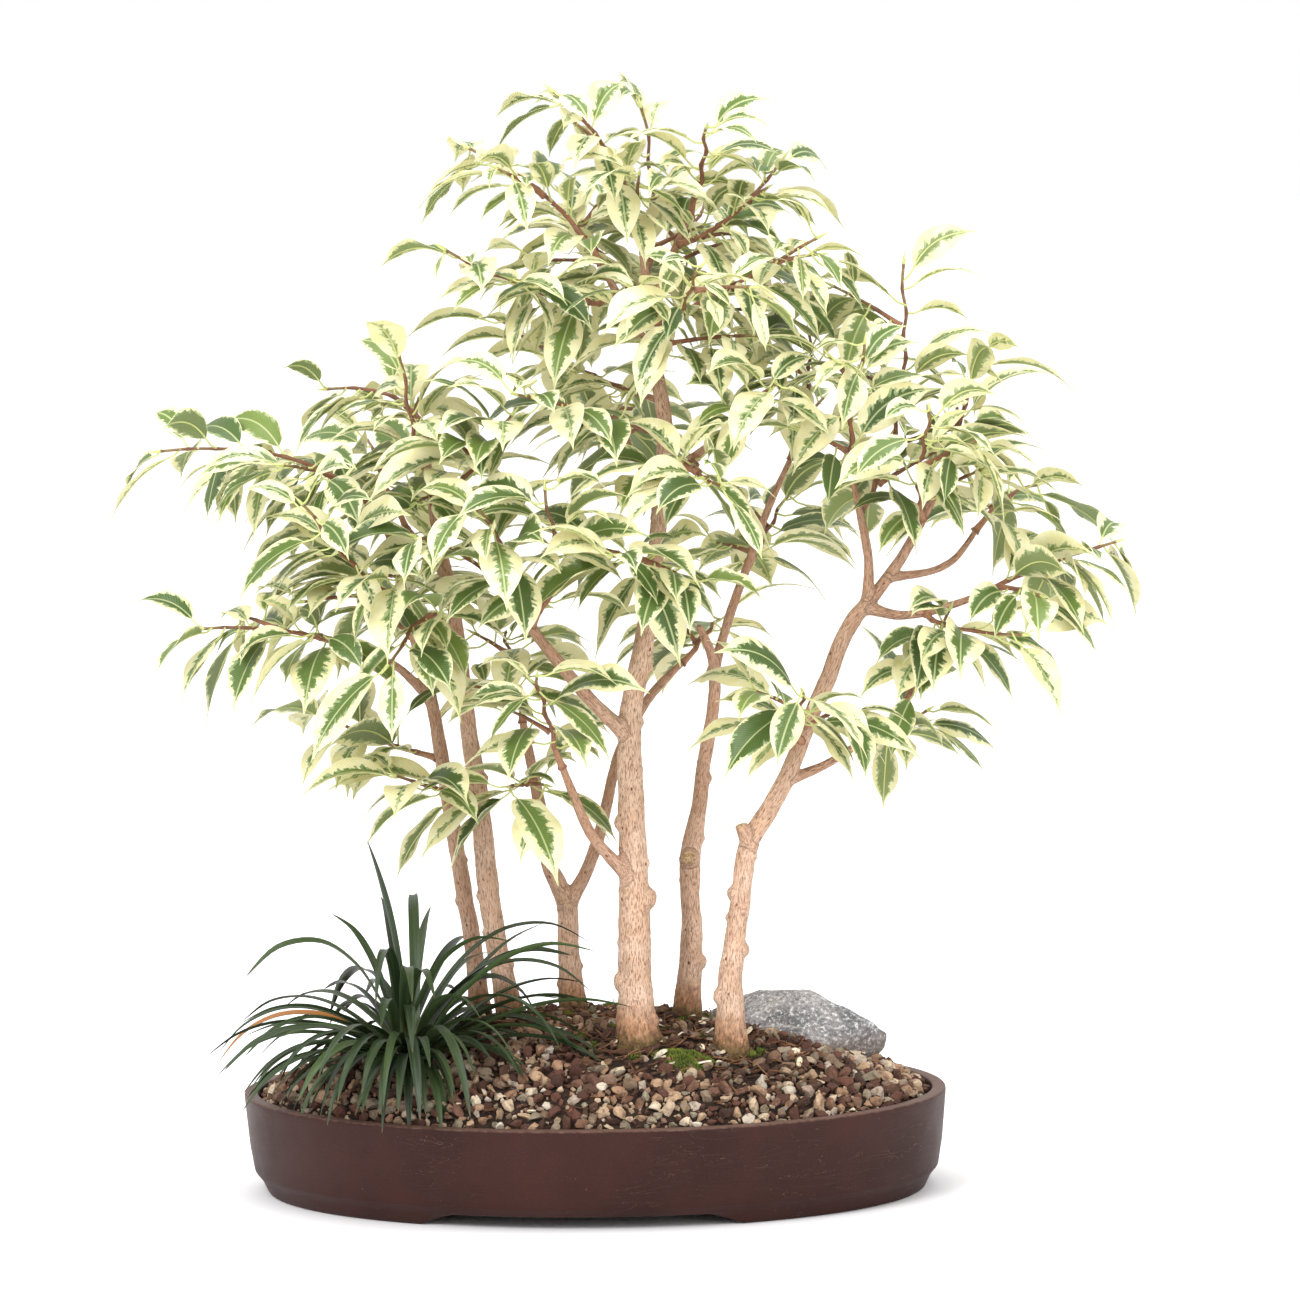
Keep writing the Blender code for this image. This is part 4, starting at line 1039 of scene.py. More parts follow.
def leaf_finish():
    leaf = Finish("marbled_leaf", 0.36)
    across, along, rim = leaf.split(leaf.attribute("place"))
    seed, age, under = leaf.split(leaf.attribute("own"))
    away = leaf.math("ABSOLUTE", across)
    side = leaf.math("SIGN", across)
    vein = leaf.math("DIVIDE", leaf.math("SUBTRACT", along, leaf.math("MULTIPLY", away, VEIN_SLANT)),
                     VEIN_STEP)
    stripe = leaf.math("FLOOR", vein)
    own_place = leaf.join(leaf.math("MULTIPLY_ADD", seed, 91.0, across), along,
                          leaf.math("MULTIPLY", seed, 37.0))
    clouds = leaf.noise(own_place, 0.16, 2.0)
    crumbs = leaf.noise(own_place, 1.3, 2.0)
    bands = leaf.noise(leaf.join(leaf.math("MULTIPLY", vein, 0.32), leaf.math("MULTIPLY", side, 9.0),
                                 leaf.math("MULTIPLY", seed, 53.0)), 1.0, 1.0)

    def edge_at(base, teeth, drift, salt):
        """Where the colour ends, as a share of the half width."""
        tooth = leaf.chance(leaf.join(stripe, side, leaf.math("MULTIPLY_ADD", seed, 100.0, salt)))
        edge = leaf.math("MULTIPLY_ADD", leaf.math("SUBTRACT", tooth, 0.5), teeth, base)
        edge = leaf.math("MULTIPLY_ADD", leaf.math("SUBTRACT", bands, 0.5), drift, edge)
        return leaf.math("MULTIPLY_ADD", leaf.math("SUBTRACT", crumbs, 0.5), 0.16, edge)

    green_share = leaf.ramp(leaf.math("FRACT", leaf.math("MULTIPLY", seed, 7.31)), [
        (0.0, 0.02), (0.2, 0.20), (0.5, 0.48), (0.8, 0.68), (1.0, 0.88)])
    share = leaf.math("MULTIPLY", green_share, leaf.rise(along, 24.0, 46.0, 1.0, 0.25))
    share = leaf.math("MULTIPLY_ADD", leaf.math("SUBTRACT", clouds, 0.5), 0.55, share)
    inner = edge_at(share, 0.26, 0.55, 1.0)
    outer = edge_at(leaf.math("ADD", share, 0.10), 0.30, 0.75, 5.0)
    is_green = leaf.rise(leaf.math("SUBTRACT", inner, rim), -0.015, 0.02)
    is_grey = leaf.rise(leaf.math("SUBTRACT", outer, rim), -0.02, 0.03)

    tone = leaf.math("FRACT", leaf.math("MULTIPLY", seed, 23.7))
    green = leaf.ramp(tone, [(0.0, (66, 94, 42)), (0.35, (88, 116, 52)),
                             (0.75, (106, 132, 60)), (1.0, (130, 152, 70))])
    green = leaf.mix(leaf.rise(crumbs, 0.4, 0.75), green, leaf.mix(0.25, green, shade(60, 92, 44)))
    grey = leaf.mix(leaf.rise(clouds, 0.35, 0.65), shade(138, 160, 112), shade(176, 192, 142))
    cream = leaf.mix(leaf.rise(clouds, 0.3, 0.75), shade(252, 247, 212), shade(245, 237, 182))
    colour = leaf.mix(is_grey, cream, grey)
    colour = leaf.mix(is_green, colour, green)

    ripple = leaf.math("PINGPONG", vein, 0.5)
    thread = leaf.rise(ripple, 0.0, 0.16, 1.0, 0.0)
    colour = leaf.mix(leaf.math("MULTIPLY", thread, 0.22), colour, shade(196, 206, 150))
    rib = leaf.rise(away, 0.28, 0.62, 1.0, 0.0)
    colour = leaf.mix(leaf.math("MULTIPLY", rib, 0.78), colour, shade(208, 218, 160))
    margin = leaf.rise(rim, 0.93, 0.985)
    colour = leaf.mix(margin, colour, shade(250, 246, 208))
    stain = leaf.math("MULTIPLY", leaf.rise(leaf.noise(own_place, 0.55, 5.0, 0.7), 0.56, 0.7),
                      leaf.rise(age, 0.55, 0.95))
    colour = leaf.mix(leaf.math("MULTIPLY", stain, 0.42), colour, shade(214, 222, 206))
    below = leaf.mix(0.4, colour, shade(206, 212, 160))
    colour = leaf.mix(leaf.math("MULTIPLY", under, 0.6), colour, below)
    leaf.set("Base Color", colour)
    leaf.set("Roughness", leaf.math("MULTIPLY_ADD", under, 0.2, leaf.math("MULTIPLY_ADD", stain, 0.3, 0.34)))
    leaf.bump(leaf.math("ADD", leaf.math("MULTIPLY", leaf.rise(ripple, 0.0, 0.5), 0.5),
                        leaf.math("MULTIPLY", rib, -0.8)), 0.22, 0.6)
    leaf.translucent(0.24, leaf.mix(0.35, colour, shade(244, 242, 214)))
    return leaf.look


marbled_leaf = leaf_finish()
print("made", marbled_leaf.name, "with", len(marbled_leaf.node_tree.nodes), "nodes")

# %% Petiole and twig finishes
def petiole_finish():
    stalk = Finish("leaf_stalk", 0.45)
    streak = stalk.noise(stalk.attribute("place"), 0.5, 2.0)
    stalk.set("Base Color", stalk.mix(streak, shade(176, 188, 104), shade(214, 214, 150)))
    stalk.bump(streak, 0.1, 0.5)
    return stalk.look


def twig_finish():
    """Young twigs are green-brown, a year's growth is red-brown, and old twigs turn to bark."""
    twig = Finish("young_bark", 0.62)
    place = twig.attribute("place")
    age, _, ring = twig.split(twig.attribute("own"))
    streak = twig.noise(twig.vector("MULTIPLY", place, (1.6, 1.6, 0.3)), 1.0, 4.0, 0.65)
    spots = twig.cells(twig.vector("MULTIPLY", place, (1.0, 1.0, 0.7)), 0.9)
    colour = twig.ramp(age, [(0.0, (150, 140, 84)), (0.25, (124, 84, 56)),
                             (0.6, (142, 92, 66)), (1.0, (176, 128, 96))])
    colour = twig.mix(twig.rise(streak, 0.35, 0.7), colour, twig.mix(0.55, colour, shade(88, 54, 38)))
    colour = twig.wash(colour, (206, 172, 140), spots, 0.10, 0.2, 0.6, 0.0)
    colour = twig.mix(twig.math("MULTIPLY", ring, 0.6), colour, shade(96, 60, 42))
    twig.set("Base Color", colour)
    twig.bump(streak, 0.3, 0.8)
    return twig.look


leaf_stalk = petiole_finish()
young_bark = twig_finish()
print("made", leaf_stalk.name, "and", young_bark.name)

# %% [markdown]
# ## One leaf blade
#
# The blade is a thin closed skin: it arches from its stalk, hangs over into a long drip tip,
# folds a little along the midrib and waves at the margin. A flat card would
# look right from one side only, so every leaf is modelled. All leaves share one grid of
# points, which makes it quick to bend them with arrays.

# %% Leaf grid
LEAF_ROWS = 19
LEAF_COLUMNS = 9
BLADE_THICKNESS = 0.00034
columns = np.linspace(-1, 1, LEAF_COLUMNS)
ring_across = np.concatenate([columns, columns[-2:0:-1]])
ring_under = np.array([1.0] * LEAF_COLUMNS + [0.0] * (LEAF_COLUMNS - 2))
ring_under[[0, LEAF_COLUMNS - 1]] = 0.5
row_share = np.linspace(0, 1, LEAF_ROWS) ** 0.92
BLADE_FACES = loft_faces(LEAF_ROWS, len(ring_across))


def half_width_share(share):
    """An egg shape, widest a little before its middle, that runs out in a narrow drip tip."""
    lower = np.clip(1 - (1 - np.clip(share / 0.40, 0, 1)) ** 2.2, 0, 1) ** 0.66
    upper = np.clip(1 - (np.clip(share - 0.40, 0, 1) / 0.50) ** 2.1, 0, 1) ** 0.95
    tip = 0.20 * np.clip((1 - share) / 0.24, 0, 1) ** 0.8
    return np.maximum(np.maximum(np.where(share < 0.40, lower, upper), tip * (share > 0.5)), 0.012)


def unit(rows):
    return rows / np.maximum(np.linalg.norm(rows, axis=1, keepdims=True), 1e-12)


def midrib(leaf, share):
    """Points and directions along an arch through the leaf's base, middle and tip."""
    base, centre, tip = (np.array(leaf[k]) for k in ("base", "centre", "tip"))
    at = 0.42
    control = (centre - (1 - at) ** 2 * base - at**2 * tip) / (2 * at * (1 - at))
    t = share[:, None]
    points = (1 - t) ** 2 * base + 2 * t * (1 - t) * control + t**2 * tip
    return points, unit(2 * (1 - t) * (control - base) + 2 * t * (tip - control))


def blade_points(leaf, rng):
    """The skin of one blade, with each point's place on it."""
    points, along = midrib(leaf, row_share)
    across = np.array(leaf["across"])
    across = unit(across - along * (along @ across)[:, None])
    turn = (rng.uniform(-0.7, 0.7) * row_share**1.5)[:, None]
    up = np.cross(along, across)
    across, up = across * np.cos(turn) + up * np.sin(turn), up * np.cos(turn) - across * np.sin(turn)
    half = leaf["half"] * rng.uniform(0.92, 1.14) * half_width_share(row_share)
    fold = rng.uniform(0.10, 0.5) * (1 - 0.5 * row_share)
    curl = rng.uniform(-0.16, 0.30)
    waves, phase = rng.uniform(1.0, 2.6), rng.uniform(0, math.tau)
    wave = rng.uniform(0.02, 0.13)
    length = np.linalg.norm(np.diff(points, axis=0), axis=1)
    place_along = np.concatenate([[0], np.cumsum(length)])
    rows, placed = [], []
    for i in range(LEAF_ROWS):
        u = ring_across
        lift = np.abs(u) * math.sin(fold[i]) - curl * u**2 * (1 - row_share[i] * 0.5)
        lift = lift + wave * u**2 * np.sin(math.tau * waves * row_share[i] + phase + (u < 0) * 1.9)
        thick = BLADE_THICKNESS / 2 * (1 - 0.75 * u**2) * np.where(ring_under > 0.5, -1, 1)
        thick[ring_under == 0.5] = 0
        rows.append(points[i] + np.outer(u * half[i] * math.cos(fold[i]), across[i])
                    + np.outer(lift * half[i] + thick, up[i]))
        placed.append(np.stack([u * half[i] / MM, np.full(len(u), place_along[i] / MM), np.abs(u)], 1))
    return np.concatenate(rows), np.concatenate(placed)


print("a blade has", LEAF_ROWS * len(ring_across), "points")

# %% [markdown]
# ## Stalks, twigs and buds
#
# Each leaf hangs on a thin pale stalk that runs on as the midrib under the blade. Twigs swell
# a little where a leaf sits, with a ring scar there, and end in the pointed bud sheath that
# every fig has. All of them are tubes round a centre line with a radius that changes.

# %% Tubes with values for the finishes
def add_tube(gathering, run, sides, own, look, ring_every=0):
    """A tube round a run. Its points know how far round and along they are, in millimetres."""
    rings = tube_rings(run, sides)
    points, place, owned = [], [], []
    along = 0
    for i, (ring, (centre, radius)) in enumerate(zip(rings, run)):
        if i:
            along += (centre - run[i - 1][0]).length
        scar = 1.0 if ring_every and i % ring_every == 0 else 0.0
        for k, point in enumerate(ring):
            turn = math.tau * k / sides
            points.append(point)
            place.append((math.cos(turn) * radius / MM, math.sin(turn) * radius / MM, along / MM))
            owned.append((own[0](radius), own[1], scar))
    gathering.add(points, loft_faces(len(rings), sides), place, owned, look)


def finer(run, steps):
    """The same centre line with more points, smooth through the old ones."""
    return through([(p.x / MM, p.y / MM, p.z / MM, r / MM) for p, r in run], steps)


TWIG_STEPS = 4
PALE_ABOVE = 0.38  # over this height leaves are younger, and more of them mostly cream


def add_twig(gathering, run, seed):
    """A twig that swells at its leaf nodes and ends in a bud sheath."""
    start = run[0][0] - (run[1][0] - run[0][0]).normalized() * 0.0016
    fine = finer([(start, run[0][1] * 1.5)] + run[1:], TWIG_STEPS)
    fine = [(p, r * (1.24 if k % TWIG_STEPS == 0 else 0.98)) for k, (p, r) in enumerate(fine)]
    add_tube(gathering, fine, 8, (lambda r: min(max((r / MM - 0.6) / 0.9, 0), 1), seed), 1, TWIG_STEPS)
    tip, radius = fine[-1]
    heading = direction_at(fine, len(fine) - 1)
    bud = [(tip + heading * MM * far, radius * wide) for far, wide in
           ((-1.0, 0.9), (0.5, 1.05), (2.2, 0.9), (4.4, 0.5), (6.6, 0.08))]
    add_tube(gathering, bud, 6, (lambda r: 0.0, seed), 2)


def add_leaf(gathering, leaf, rng):
    seed, age = rng.random(), rng.random() * (1.0 if leaf["root"].z < 0.33 else 0.6)
    if leaf["root"].z > PALE_ABOVE and seed * 7.31 % 1 > 0.55:
        seed = rng.random()
    points, place = blade_points(leaf, rng)
    own = np.stack([np.full(len(points), seed), np.full(len(points), age),
                    np.tile(ring_under, LEAF_ROWS)], 1)
    gathering.add(points, BLADE_FACES, place, own, 0)
    root, base = leaf["root"], leaf["base"]
    sag = Vector((0, 0, -0.12 * (base - root).length))
    stalk = [(root - (base - root) * 0.12, 0.00066), (root, 0.0006),
             (root.lerp(base, 0.5) + sag, 0.0005), (base, 0.00048)]
    shares = np.array([0.12, 0.3, 0.5, 0.7, 0.85])
    under, _ = midrib(leaf, shares)
    normal = Vector(leaf["normal"])
    for point, share in zip(under, shares):
        radius = 0.00046 * (1 - float(share))
        stalk.append((Vector(point) - normal * radius * 0.75, radius + 0.00006))
    add_tube(gathering, finer(stalk, 2), 5, (lambda r: 0.0, seed), 2)


# %% Make all shoots
rng = random.Random(303)
for name, (_, shoot), young in zip(shoot_names, shoots, young_leaves):
    gathering = Gathering()
    for run in shoot.twigs:
        add_twig(gathering, run, rng.random())
    for leaf in shoot.leaves + young:
        add_leaf(gathering, leaf, rng)
    dress(gathering.piece(name + "_leaves", [marbled_leaf, young_bark, leaf_stalk]), "foliage", name)

# %% [markdown]
# ## Trunks
#
# The trunks are pale, with fine upright wrinkles, small dark corky dots, swollen knots where
# twigs were cut, and a flared, mossy foot. Tubes alone would show where a limb is stuck on.
# So the tubes, knots and surface roots of one tree are remeshed into one skin, as wax runs
# together, then the skin is smoothed and carved with noise that runs along the stem.

# %% Knots, cuts and roots
SKIN_STEP = 0.00075
KNOTS = {  # height above the table, direction in degrees (-90 is the front), size in millimetres
    "left_tree": [(104, -30, 3.4), (139, 190, 3.0), (162, 0, 2.4), (186, -60, 2.8)],
    "slim_tree": [(112, -20, 3.6), (126, 190, 2.6), (146, 180, 3.4), (172, -100, 2.6), (204, 20, 3.0)],
    "forked_tree": [(98, 170, 3.0), (108, 0, 2.6), (118, -50, 2.6), (137, -90, 3.4)],
    "main_tree": [(88, -20, 3.6), (107, 188, 6.6), (149, -8, 7.2), (128, 170, 3.0), (166, 0, 3.0),
                  (187, 175, 4.8), (214, -35, 3.6), (236, 10, 3.4), (252, -120, 3.4), (262, 10, 4.2)],
    "knotted_tree": [(112, 0, 5.2), (128, -80, 2.6), (100, -60, 3.0), (152, 150, 3.2), (172, -10, 3.0),
                     (204, 20, 3.4)],
    "right_tree": [(100, 185, 5.4), (124, 0, 5.4), (140, 180, 3.2), (152, 180, 4.6), (170, -20, 3.0),
                   (232, -60, 3.4), (258, 100, 3.2)],
}
CUT_STEMS = {"knotted_tree": [2], "right_tree": [5]}
ROOTS_PER_TREE = 5


def fine_stem(tree, index):
    run = finer(stem_run(tree, index), 6)
    if index == 0:
        return [(p, r * (1 + 0.20 * math.exp(-max(p.z - mound(p.x, p.y), 0) / 0.009))) for p, r in run]
    collar = [1 + 0.5 * math.exp(-(p - run[0][0]).length / 0.004) for p, _ in run]
    return [(p, r * wide) for (p, r), wide in zip(run, collar)]


def knot_shape(run, height, degrees, size):
    """A blunt swelling on the stem at a height, drawn out along the stem."""
    point, radius = min(run, key=lambda step: abs(step[0].z - height * MM))
    turn = math.radians(degrees)
    out = Vector((math.cos(turn), math.sin(turn), 0.25)).normalized()
    reach = size * MM
    steps = [(-0.8, 1.5), (0.35, 1.45), (0.75, 1.15), (1.0, 0.72), (1.12, 0.45)]
    return [(point + out * (radius - reach * 0.45 + reach * far * 0.8), reach * wide * 0.62)
            for far, wide in steps]


def root_run(tree, number, rng):
    """A surface root that leaves the foot of the trunk and dives into the soil."""
    x, y, _, radius = TREES[tree][0][0]
    turn = math.tau * (number + rng.uniform(-0.3, 0.3)) / ROOTS_PER_TREE
    reach = radius * rng.uniform(0.5, 1.1)
    run = []
    for far, rise, wide in ((0.1, 4.5, 0.34), (0.6, 1.4, 0.30), (1.0, -0.6, 0.22), (1.4, -2.2, 0.14)):
        px = (x + math.cos(turn) * (radius * 0.6 + reach * (far - 0.2))) * MM
        py = (y + math.sin(turn) * (radius * 0.6 + reach * (far - 0.2))) * MM
        run.append((Vector((px, py, mound(px, py) + rise * MM)), radius * wide * MM))
    return finer(run, 4)


def raw_tree(tree, rng):
    """All tubes of one tree as one mesh, not yet joined."""
    gathering = Gathering()
    stems = [fine_stem(tree, index) for index in range(len(TREES[tree]))]
    extras = [knot_shape(stems[0], *knot) for knot in KNOTS[tree]]
    extras += [root_run(tree, number, rng) for number in range(ROOTS_PER_TREE)]
    for run in stems + extras:
        add_tube(gathering, run, 20, (lambda r: 0.0, 0.0), 0)
    return gathering.piece(tree + "_tubes", [], 180), stems


# %% Join the tubes into one skin
def remeshed(raw, step):
    way = raw.modifiers.new("join", "REMESH")
    way.mode = "VOXEL"
    way.voxel_size = step
    graph = bpy.context.evaluated_depsgraph_get()
    mesh = bpy.data.meshes.new_from_object(raw.evaluated_get(graph))
    bpy.data.objects.remove(raw, do_unlink=True)
    return mesh


def relaxed(mesh, rounds):
    """Smooths a skin by moving each point towards the middle of its neighbours."""
    points = np.empty(len(mesh.vertices) * 3)
    mesh.vertices.foreach_get("co", points)
    points = points.reshape(-1, 3)
    ends = np.empty(len(mesh.edges) * 2, int)
    mesh.edges.foreach_get("vertices", ends)
    ends = ends.reshape(-1, 2)
    for _ in range(rounds):
        total, count = np.zeros_like(points), np.zeros(len(points))
        for a, b in ((0, 1), (1, 0)):
            np.add.at(total, ends[:, a], points[ends[:, b]])
            np.add.at(count, ends[:, a], 1)
        points = points * 0.5 + total / count[:, None] * 0.5
    return points


def nearest_on_stems(points, stems):
    """For each point its place round and along the nearest stem, and that stem's radius."""
    samples = []
    for run in stems:
        across = None
        length = 0
        for i, (centre, radius) in enumerate(run):
            along = direction_at(run, i)
            across = along.orthogonal() if across is None else across
            across = (across - along * across.dot(along)).normalized()
            length += (centre - run[i - 1][0]).length if i else 0
            samples.append((centre, along, across, along.cross(across), length, radius))
    finder = KDTree(len(samples))
    for k, sample in enumerate(samples):
        finder.insert(sample[0] + TRAY_MIDDLE, k)
    finder.balance()
    nearest = np.array([finder.find(p)[1] for p in points])
    columns = [np.array([tuple(s[i]) for s in samples])[nearest] for i in range(4)]
    centre, along, across, other = columns
    offset = points - np.array(TRAY_MIDDLE) - centre
    length, radius = (np.array([s[i] for s in samples])[nearest] for i in (4, 5))
    place = np.stack([(offset * across).sum(1), (offset * other).sum(1),
                      length + (offset * along).sum(1)], 1) / MM
    return place, radius / MM


# %% [markdown]
# ### Carving the bark
#
# Wrinkles follow the stem, so the noise is read from each point's own place round and along
# it, squeezed along the length. A second, slower noise gives the soft lumps of old wood.

# %% Carve, colour and place each tree
def carve(points, normals, place, radius):
    depth = np.empty(len(points))
    for i, (x, y, z) in enumerate(place):
        wrinkle = noise.noise(Vector((x * 0.95, y * 0.95, z * 0.16)))
        fine_wrinkle = noise.noise(Vector((x * 2.0 + 50, y * 2.0, z * 0.42)))
        lump = noise.noise(Vector((x * 0.16, y * 0.16, z * 0.07)) + Vector((9, 0, 0)))
        depth[i] = 0.30 * wrinkle + 0.16 * fine_wrinkle + 0.80 * lump
    return points + normals * (depth * np.clip(radius / 6.0, 0.35, 1.2) * MM)[:, None]


def bark_finish():
    bark = Finish("fig_bark", 0.78)
    place = bark.attribute("place")
    height, cut, old = bark.split(bark.attribute("own"))
    lengthwise = bark.vector("MULTIPLY", place, (1.0, 1.0, 0.20))
    wrinkle = bark.noise(lengthwise, 1.5, 4.0, 0.6, 0.4)
    dashes = bark.noise(bark.vector("MULTIPLY", place, (2.6, 2.6, 0.36)), 1.0, 2.0, 0.55)
    soft = bark.noise(place, 0.06, 3.0)
    colour = bark.mix(bark.rise(soft, 0.32, 0.68), shade(226, 194, 170), shade(206, 168, 140))
    colour = bark.wash(colour, (160, 112, 82), old, 0.25, 0.75, 0.6, 0.0)
    colour = bark.wash(colour, (150, 108, 82), wrinkle, 0.54, 0.66, 0.0, 0.5)
    colour = bark.wash(colour, (122, 84, 62), dashes, 0.55, 0.62, 0.0, 0.7)
    colour = bark.wash(colour, (226, 198, 176), wrinkle, 0.34, 0.24, 0.0, 0.5)
    dots = bark.cells(bark.vector("MULTIPLY", place, (1.0, 1.0, 0.6)), 0.24)
    pick = bark.rise(bark.noise(place, 0.11, 1.0), 0.50, 0.6)
    colour = bark.mix(bark.math("MULTIPLY", bark.rise(dots, 0.10, 0.17, 1.0, 0.0), pick), colour,
                      shade(112, 68, 50))
    foot = bark.math("ADD", height, bark.math("MULTIPLY", bark.noise(place, 0.35, 4.0), 9.0))
    colour = bark.mix(bark.rise(foot, 10.0, 32.0, 0.85, 0.0), colour, bark.ramp(bark.noise(
        bark.vector("MULTIPLY", place, (0.5, 0.5, 0.25)), 1.0, 5.0, 0.65), [
            (0.36, (196, 150, 110)), (0.5, (160, 106, 64)), (0.62, (88, 52, 30))]))
    grime = bark.rise(foot, 6.0, 15.0, 1.0, 0.0)
    colour = bark.mix(grime, colour, bark.ramp(bark.noise(place, 0.8, 4.0), [
        (0.3, (52, 36, 20)), (0.5, (96, 72, 36)), (0.7, (104, 100, 40))]))
    grain_ring = bark.rise(bark.noise(place, 0.9, 3.0), 0.4, 0.6)
    colour = bark.mix(cut, colour, bark.mix(grain_ring, shade(222, 196, 158), shade(176, 138, 92)))
    bark.set("Base Color", colour)
    relief = bark.math("MULTIPLY_ADD", bark.rise(dashes, 0.54, 0.62, 1.0, 0.0), 0.5, wrinkle)
    bark.bump(bark.math("ADD", relief, bark.math("MULTIPLY", bark.rise(dots, 0.08, 0.2), 0.3)), 0.8, 0.9)
    return bark.look


fig_bark = bark_finish()


def cut_shares(points, stems, tree):
    """1 on the pale end grain of a cut stub, 0 elsewhere."""
    share = np.zeros(len(points))
    for index in CUT_STEMS.get(tree, []):
        end, radius = stems[index][-1]
        heading = np.array(direction_at(stems[index], len(stems[index]) - 1))
        offset = points - np.array(end + TRAY_MIDDLE)
        near = np.linalg.norm(offset, axis=1) < radius * 0.95
        share = np.maximum(share, near * np.clip((offset @ heading) / MM + 1.2, 0, 1))
    return share


def make_tree(tree, rng):
    raw, stems = raw_tree(tree, rng)
    mesh = remeshed(raw, SKIN_STEP)
    points = relaxed(mesh, 4)
    mesh.vertices.foreach_set("co", points.ravel())
    mesh.update()
    normals = np.empty(len(points) * 3)
    mesh.vertices.foreach_get("normal", normals)
    place, radius = nearest_on_stems(points, stems)
    points = carve(points, normals.reshape(-1, 3), place, radius)
    mesh.vertices.foreach_set("co", points.ravel())
    ground = np.array([mound(x - TRAY_MIDDLE.x, y - TRAY_MIDDLE.y) for x, y, _ in points])
    own = np.stack([(points[:, 2] - ground) / MM, cut_shares(points, stems, tree), radius / 8], 1)
    keep_values(mesh, place, own)
    mesh.materials.clear()
    mesh.materials.append(fig_bark)
    mesh.shade_smooth()
    dress(stand(tree + "_bark", mesh), "bark", tree)


rng = random.Random(8)
for tree in TREES:
    make_tree(tree, rng)

# %% [markdown]
# ## The tray
#
# The tray is pressed from brown clay and left unglazed. Its wall leans in a little towards a
# ledge above the foot ring, and the foot is cut away front and back so that water drains. It
# is a loft of one oval profile, which keeps the clay's even, slightly soft look. The arches
# need no cutting: the points under the foot are lifted there.

# %% Tray profile with rounded corners
FINE_OUTLINE = 420
PROFILE_ROUND = 0.0013


def rounded(corners, radius, steps=4):
    """A polyline with each corner turned into a small arc, as a quadratic curve."""
    made = [corners[0]]
    for a, b, c in zip(corners, corners[1:], corners[2:]):
        a, b, c = Vector(a), Vector(b), Vector(c)
        before = b + (a - b).normalized() * min(radius, (a - b).length * 0.45)
        after = b + (c - b).normalized() * min(radius, (c - b).length * 0.45)
        for k in range(steps + 1):
            t = k / steps
            made.append(tuple(before * (1 - t) ** 2 + b * 2 * t * (1 - t) + after * t**2))
    return made + [corners[-1]]


def filled(profile, step):
    """Extra points on long straight stretches."""
    made = []
    for a, b in zip(profile, profile[1:]):
        count = max(1, round((Vector(b) - Vector(a)).length / step))
        made += [tuple(Vector(a).lerp(Vector(b), k / count)) for k in range(count)]
    return made + [profile[-1]]


def tray_profile():
    """(inset from the rim, height) from the middle of the underside round to the inner floor."""
    lean = LEDGE_IN + TRAY_DRAFT
    foot_in = lean + FOOT_LEAN
    inner = TRAY_WALL + TRAY_DRAFT
    floor = FOOT_HEIGHT + TRAY_FLOOR
    corners = [
        (foot_in + FOOT_WIDTH + 0.03, FOOT_HEIGHT), (foot_in + FOOT_WIDTH + 0.001, FOOT_HEIGHT),
        (foot_in + FOOT_WIDTH, 0), (foot_in, 0), (lean, LEDGE_HEIGHT),
        (TRAY_DRAFT, LEDGE_HEIGHT + 0.004), (TRAY_DRAFT * 0.5, TRAY_HEIGHT * 0.48),
        (0, TRAY_HEIGHT - 0.003), (0, TRAY_HEIGHT), (TRAY_WALL, TRAY_HEIGHT),
        (inner, floor + 0.008), (inner + 0.006, floor), (inner + 0.04, floor),
    ]
    return filled(rounded(corners, PROFILE_ROUND), 0.004)


def arch_lift(x, y):
    """How far the foot's underside is lifted at a place, so that it clears the table there."""
    half = ARCH_WIDTH / 2
    share = min(max((half + ARCH_FLARE - abs(x)) / ARCH_FLARE, 0), 1)
    return ARCH_HEIGHT * share**0.8 if abs(y) > TRAY_WIDTH / 4 else 0


# %% Make the tray
def make_tray(look):
    points = []
    profile = tray_profile()
    for inset, height in profile:
        for point in oval(TRAY_LENGTH / 2 - inset, TRAY_WIDTH / 2 - inset, height, FINE_OUTLINE):
            lift = arch_lift(point.x, point.y) * min(max(1 - height / FOOT_HEIGHT, 0), 1)
            sway = noise.noise(point * 14) * 0.35 + noise.noise(point * 60) * 0.10
            out = Vector((point.x, point.y, 0)).normalized()
            points.append(point + Vector((0, 0, lift)) + out * sway * MM)
    gathering = Gathering()
    gathering.add(points, loft_faces(len(profile), FINE_OUTLINE))
    tray = gathering.piece("clay_tray", [look], 40)
    for i, centre in enumerate(drain_centres()):
        ring = [centre + TRAY_MIDDLE + DRAIN_RADIUS * Vector((math.cos(math.tau * k / 48),
                math.sin(math.tau * k / 48), 0)) for k in range(48)]
        points, faces = loft([[Vector((p.x, p.y, z)) for p in ring] for z in (-0.01, 0.03)])
        mesh = bpy.data.meshes.new("drain")
        mesh.from_pydata([tuple(p) for p in points], [], faces)
        post = stand(f"drain_post_{i}", mesh)
        cut = tray.modifiers.new("drain", "BOOLEAN")
        cut.operation, cut.solver, cut.object = "DIFFERENCE", "EXACT", post
        graph = bpy.context.evaluated_depsgraph_get()
        whole = bpy.data.meshes.new_from_object(tray.evaluated_get(graph))
        tray.modifiers.clear()
        tray.data = whole
        bpy.data.objects.remove(post, do_unlink=True)
    dress(tray, "fired_clay", "tray")


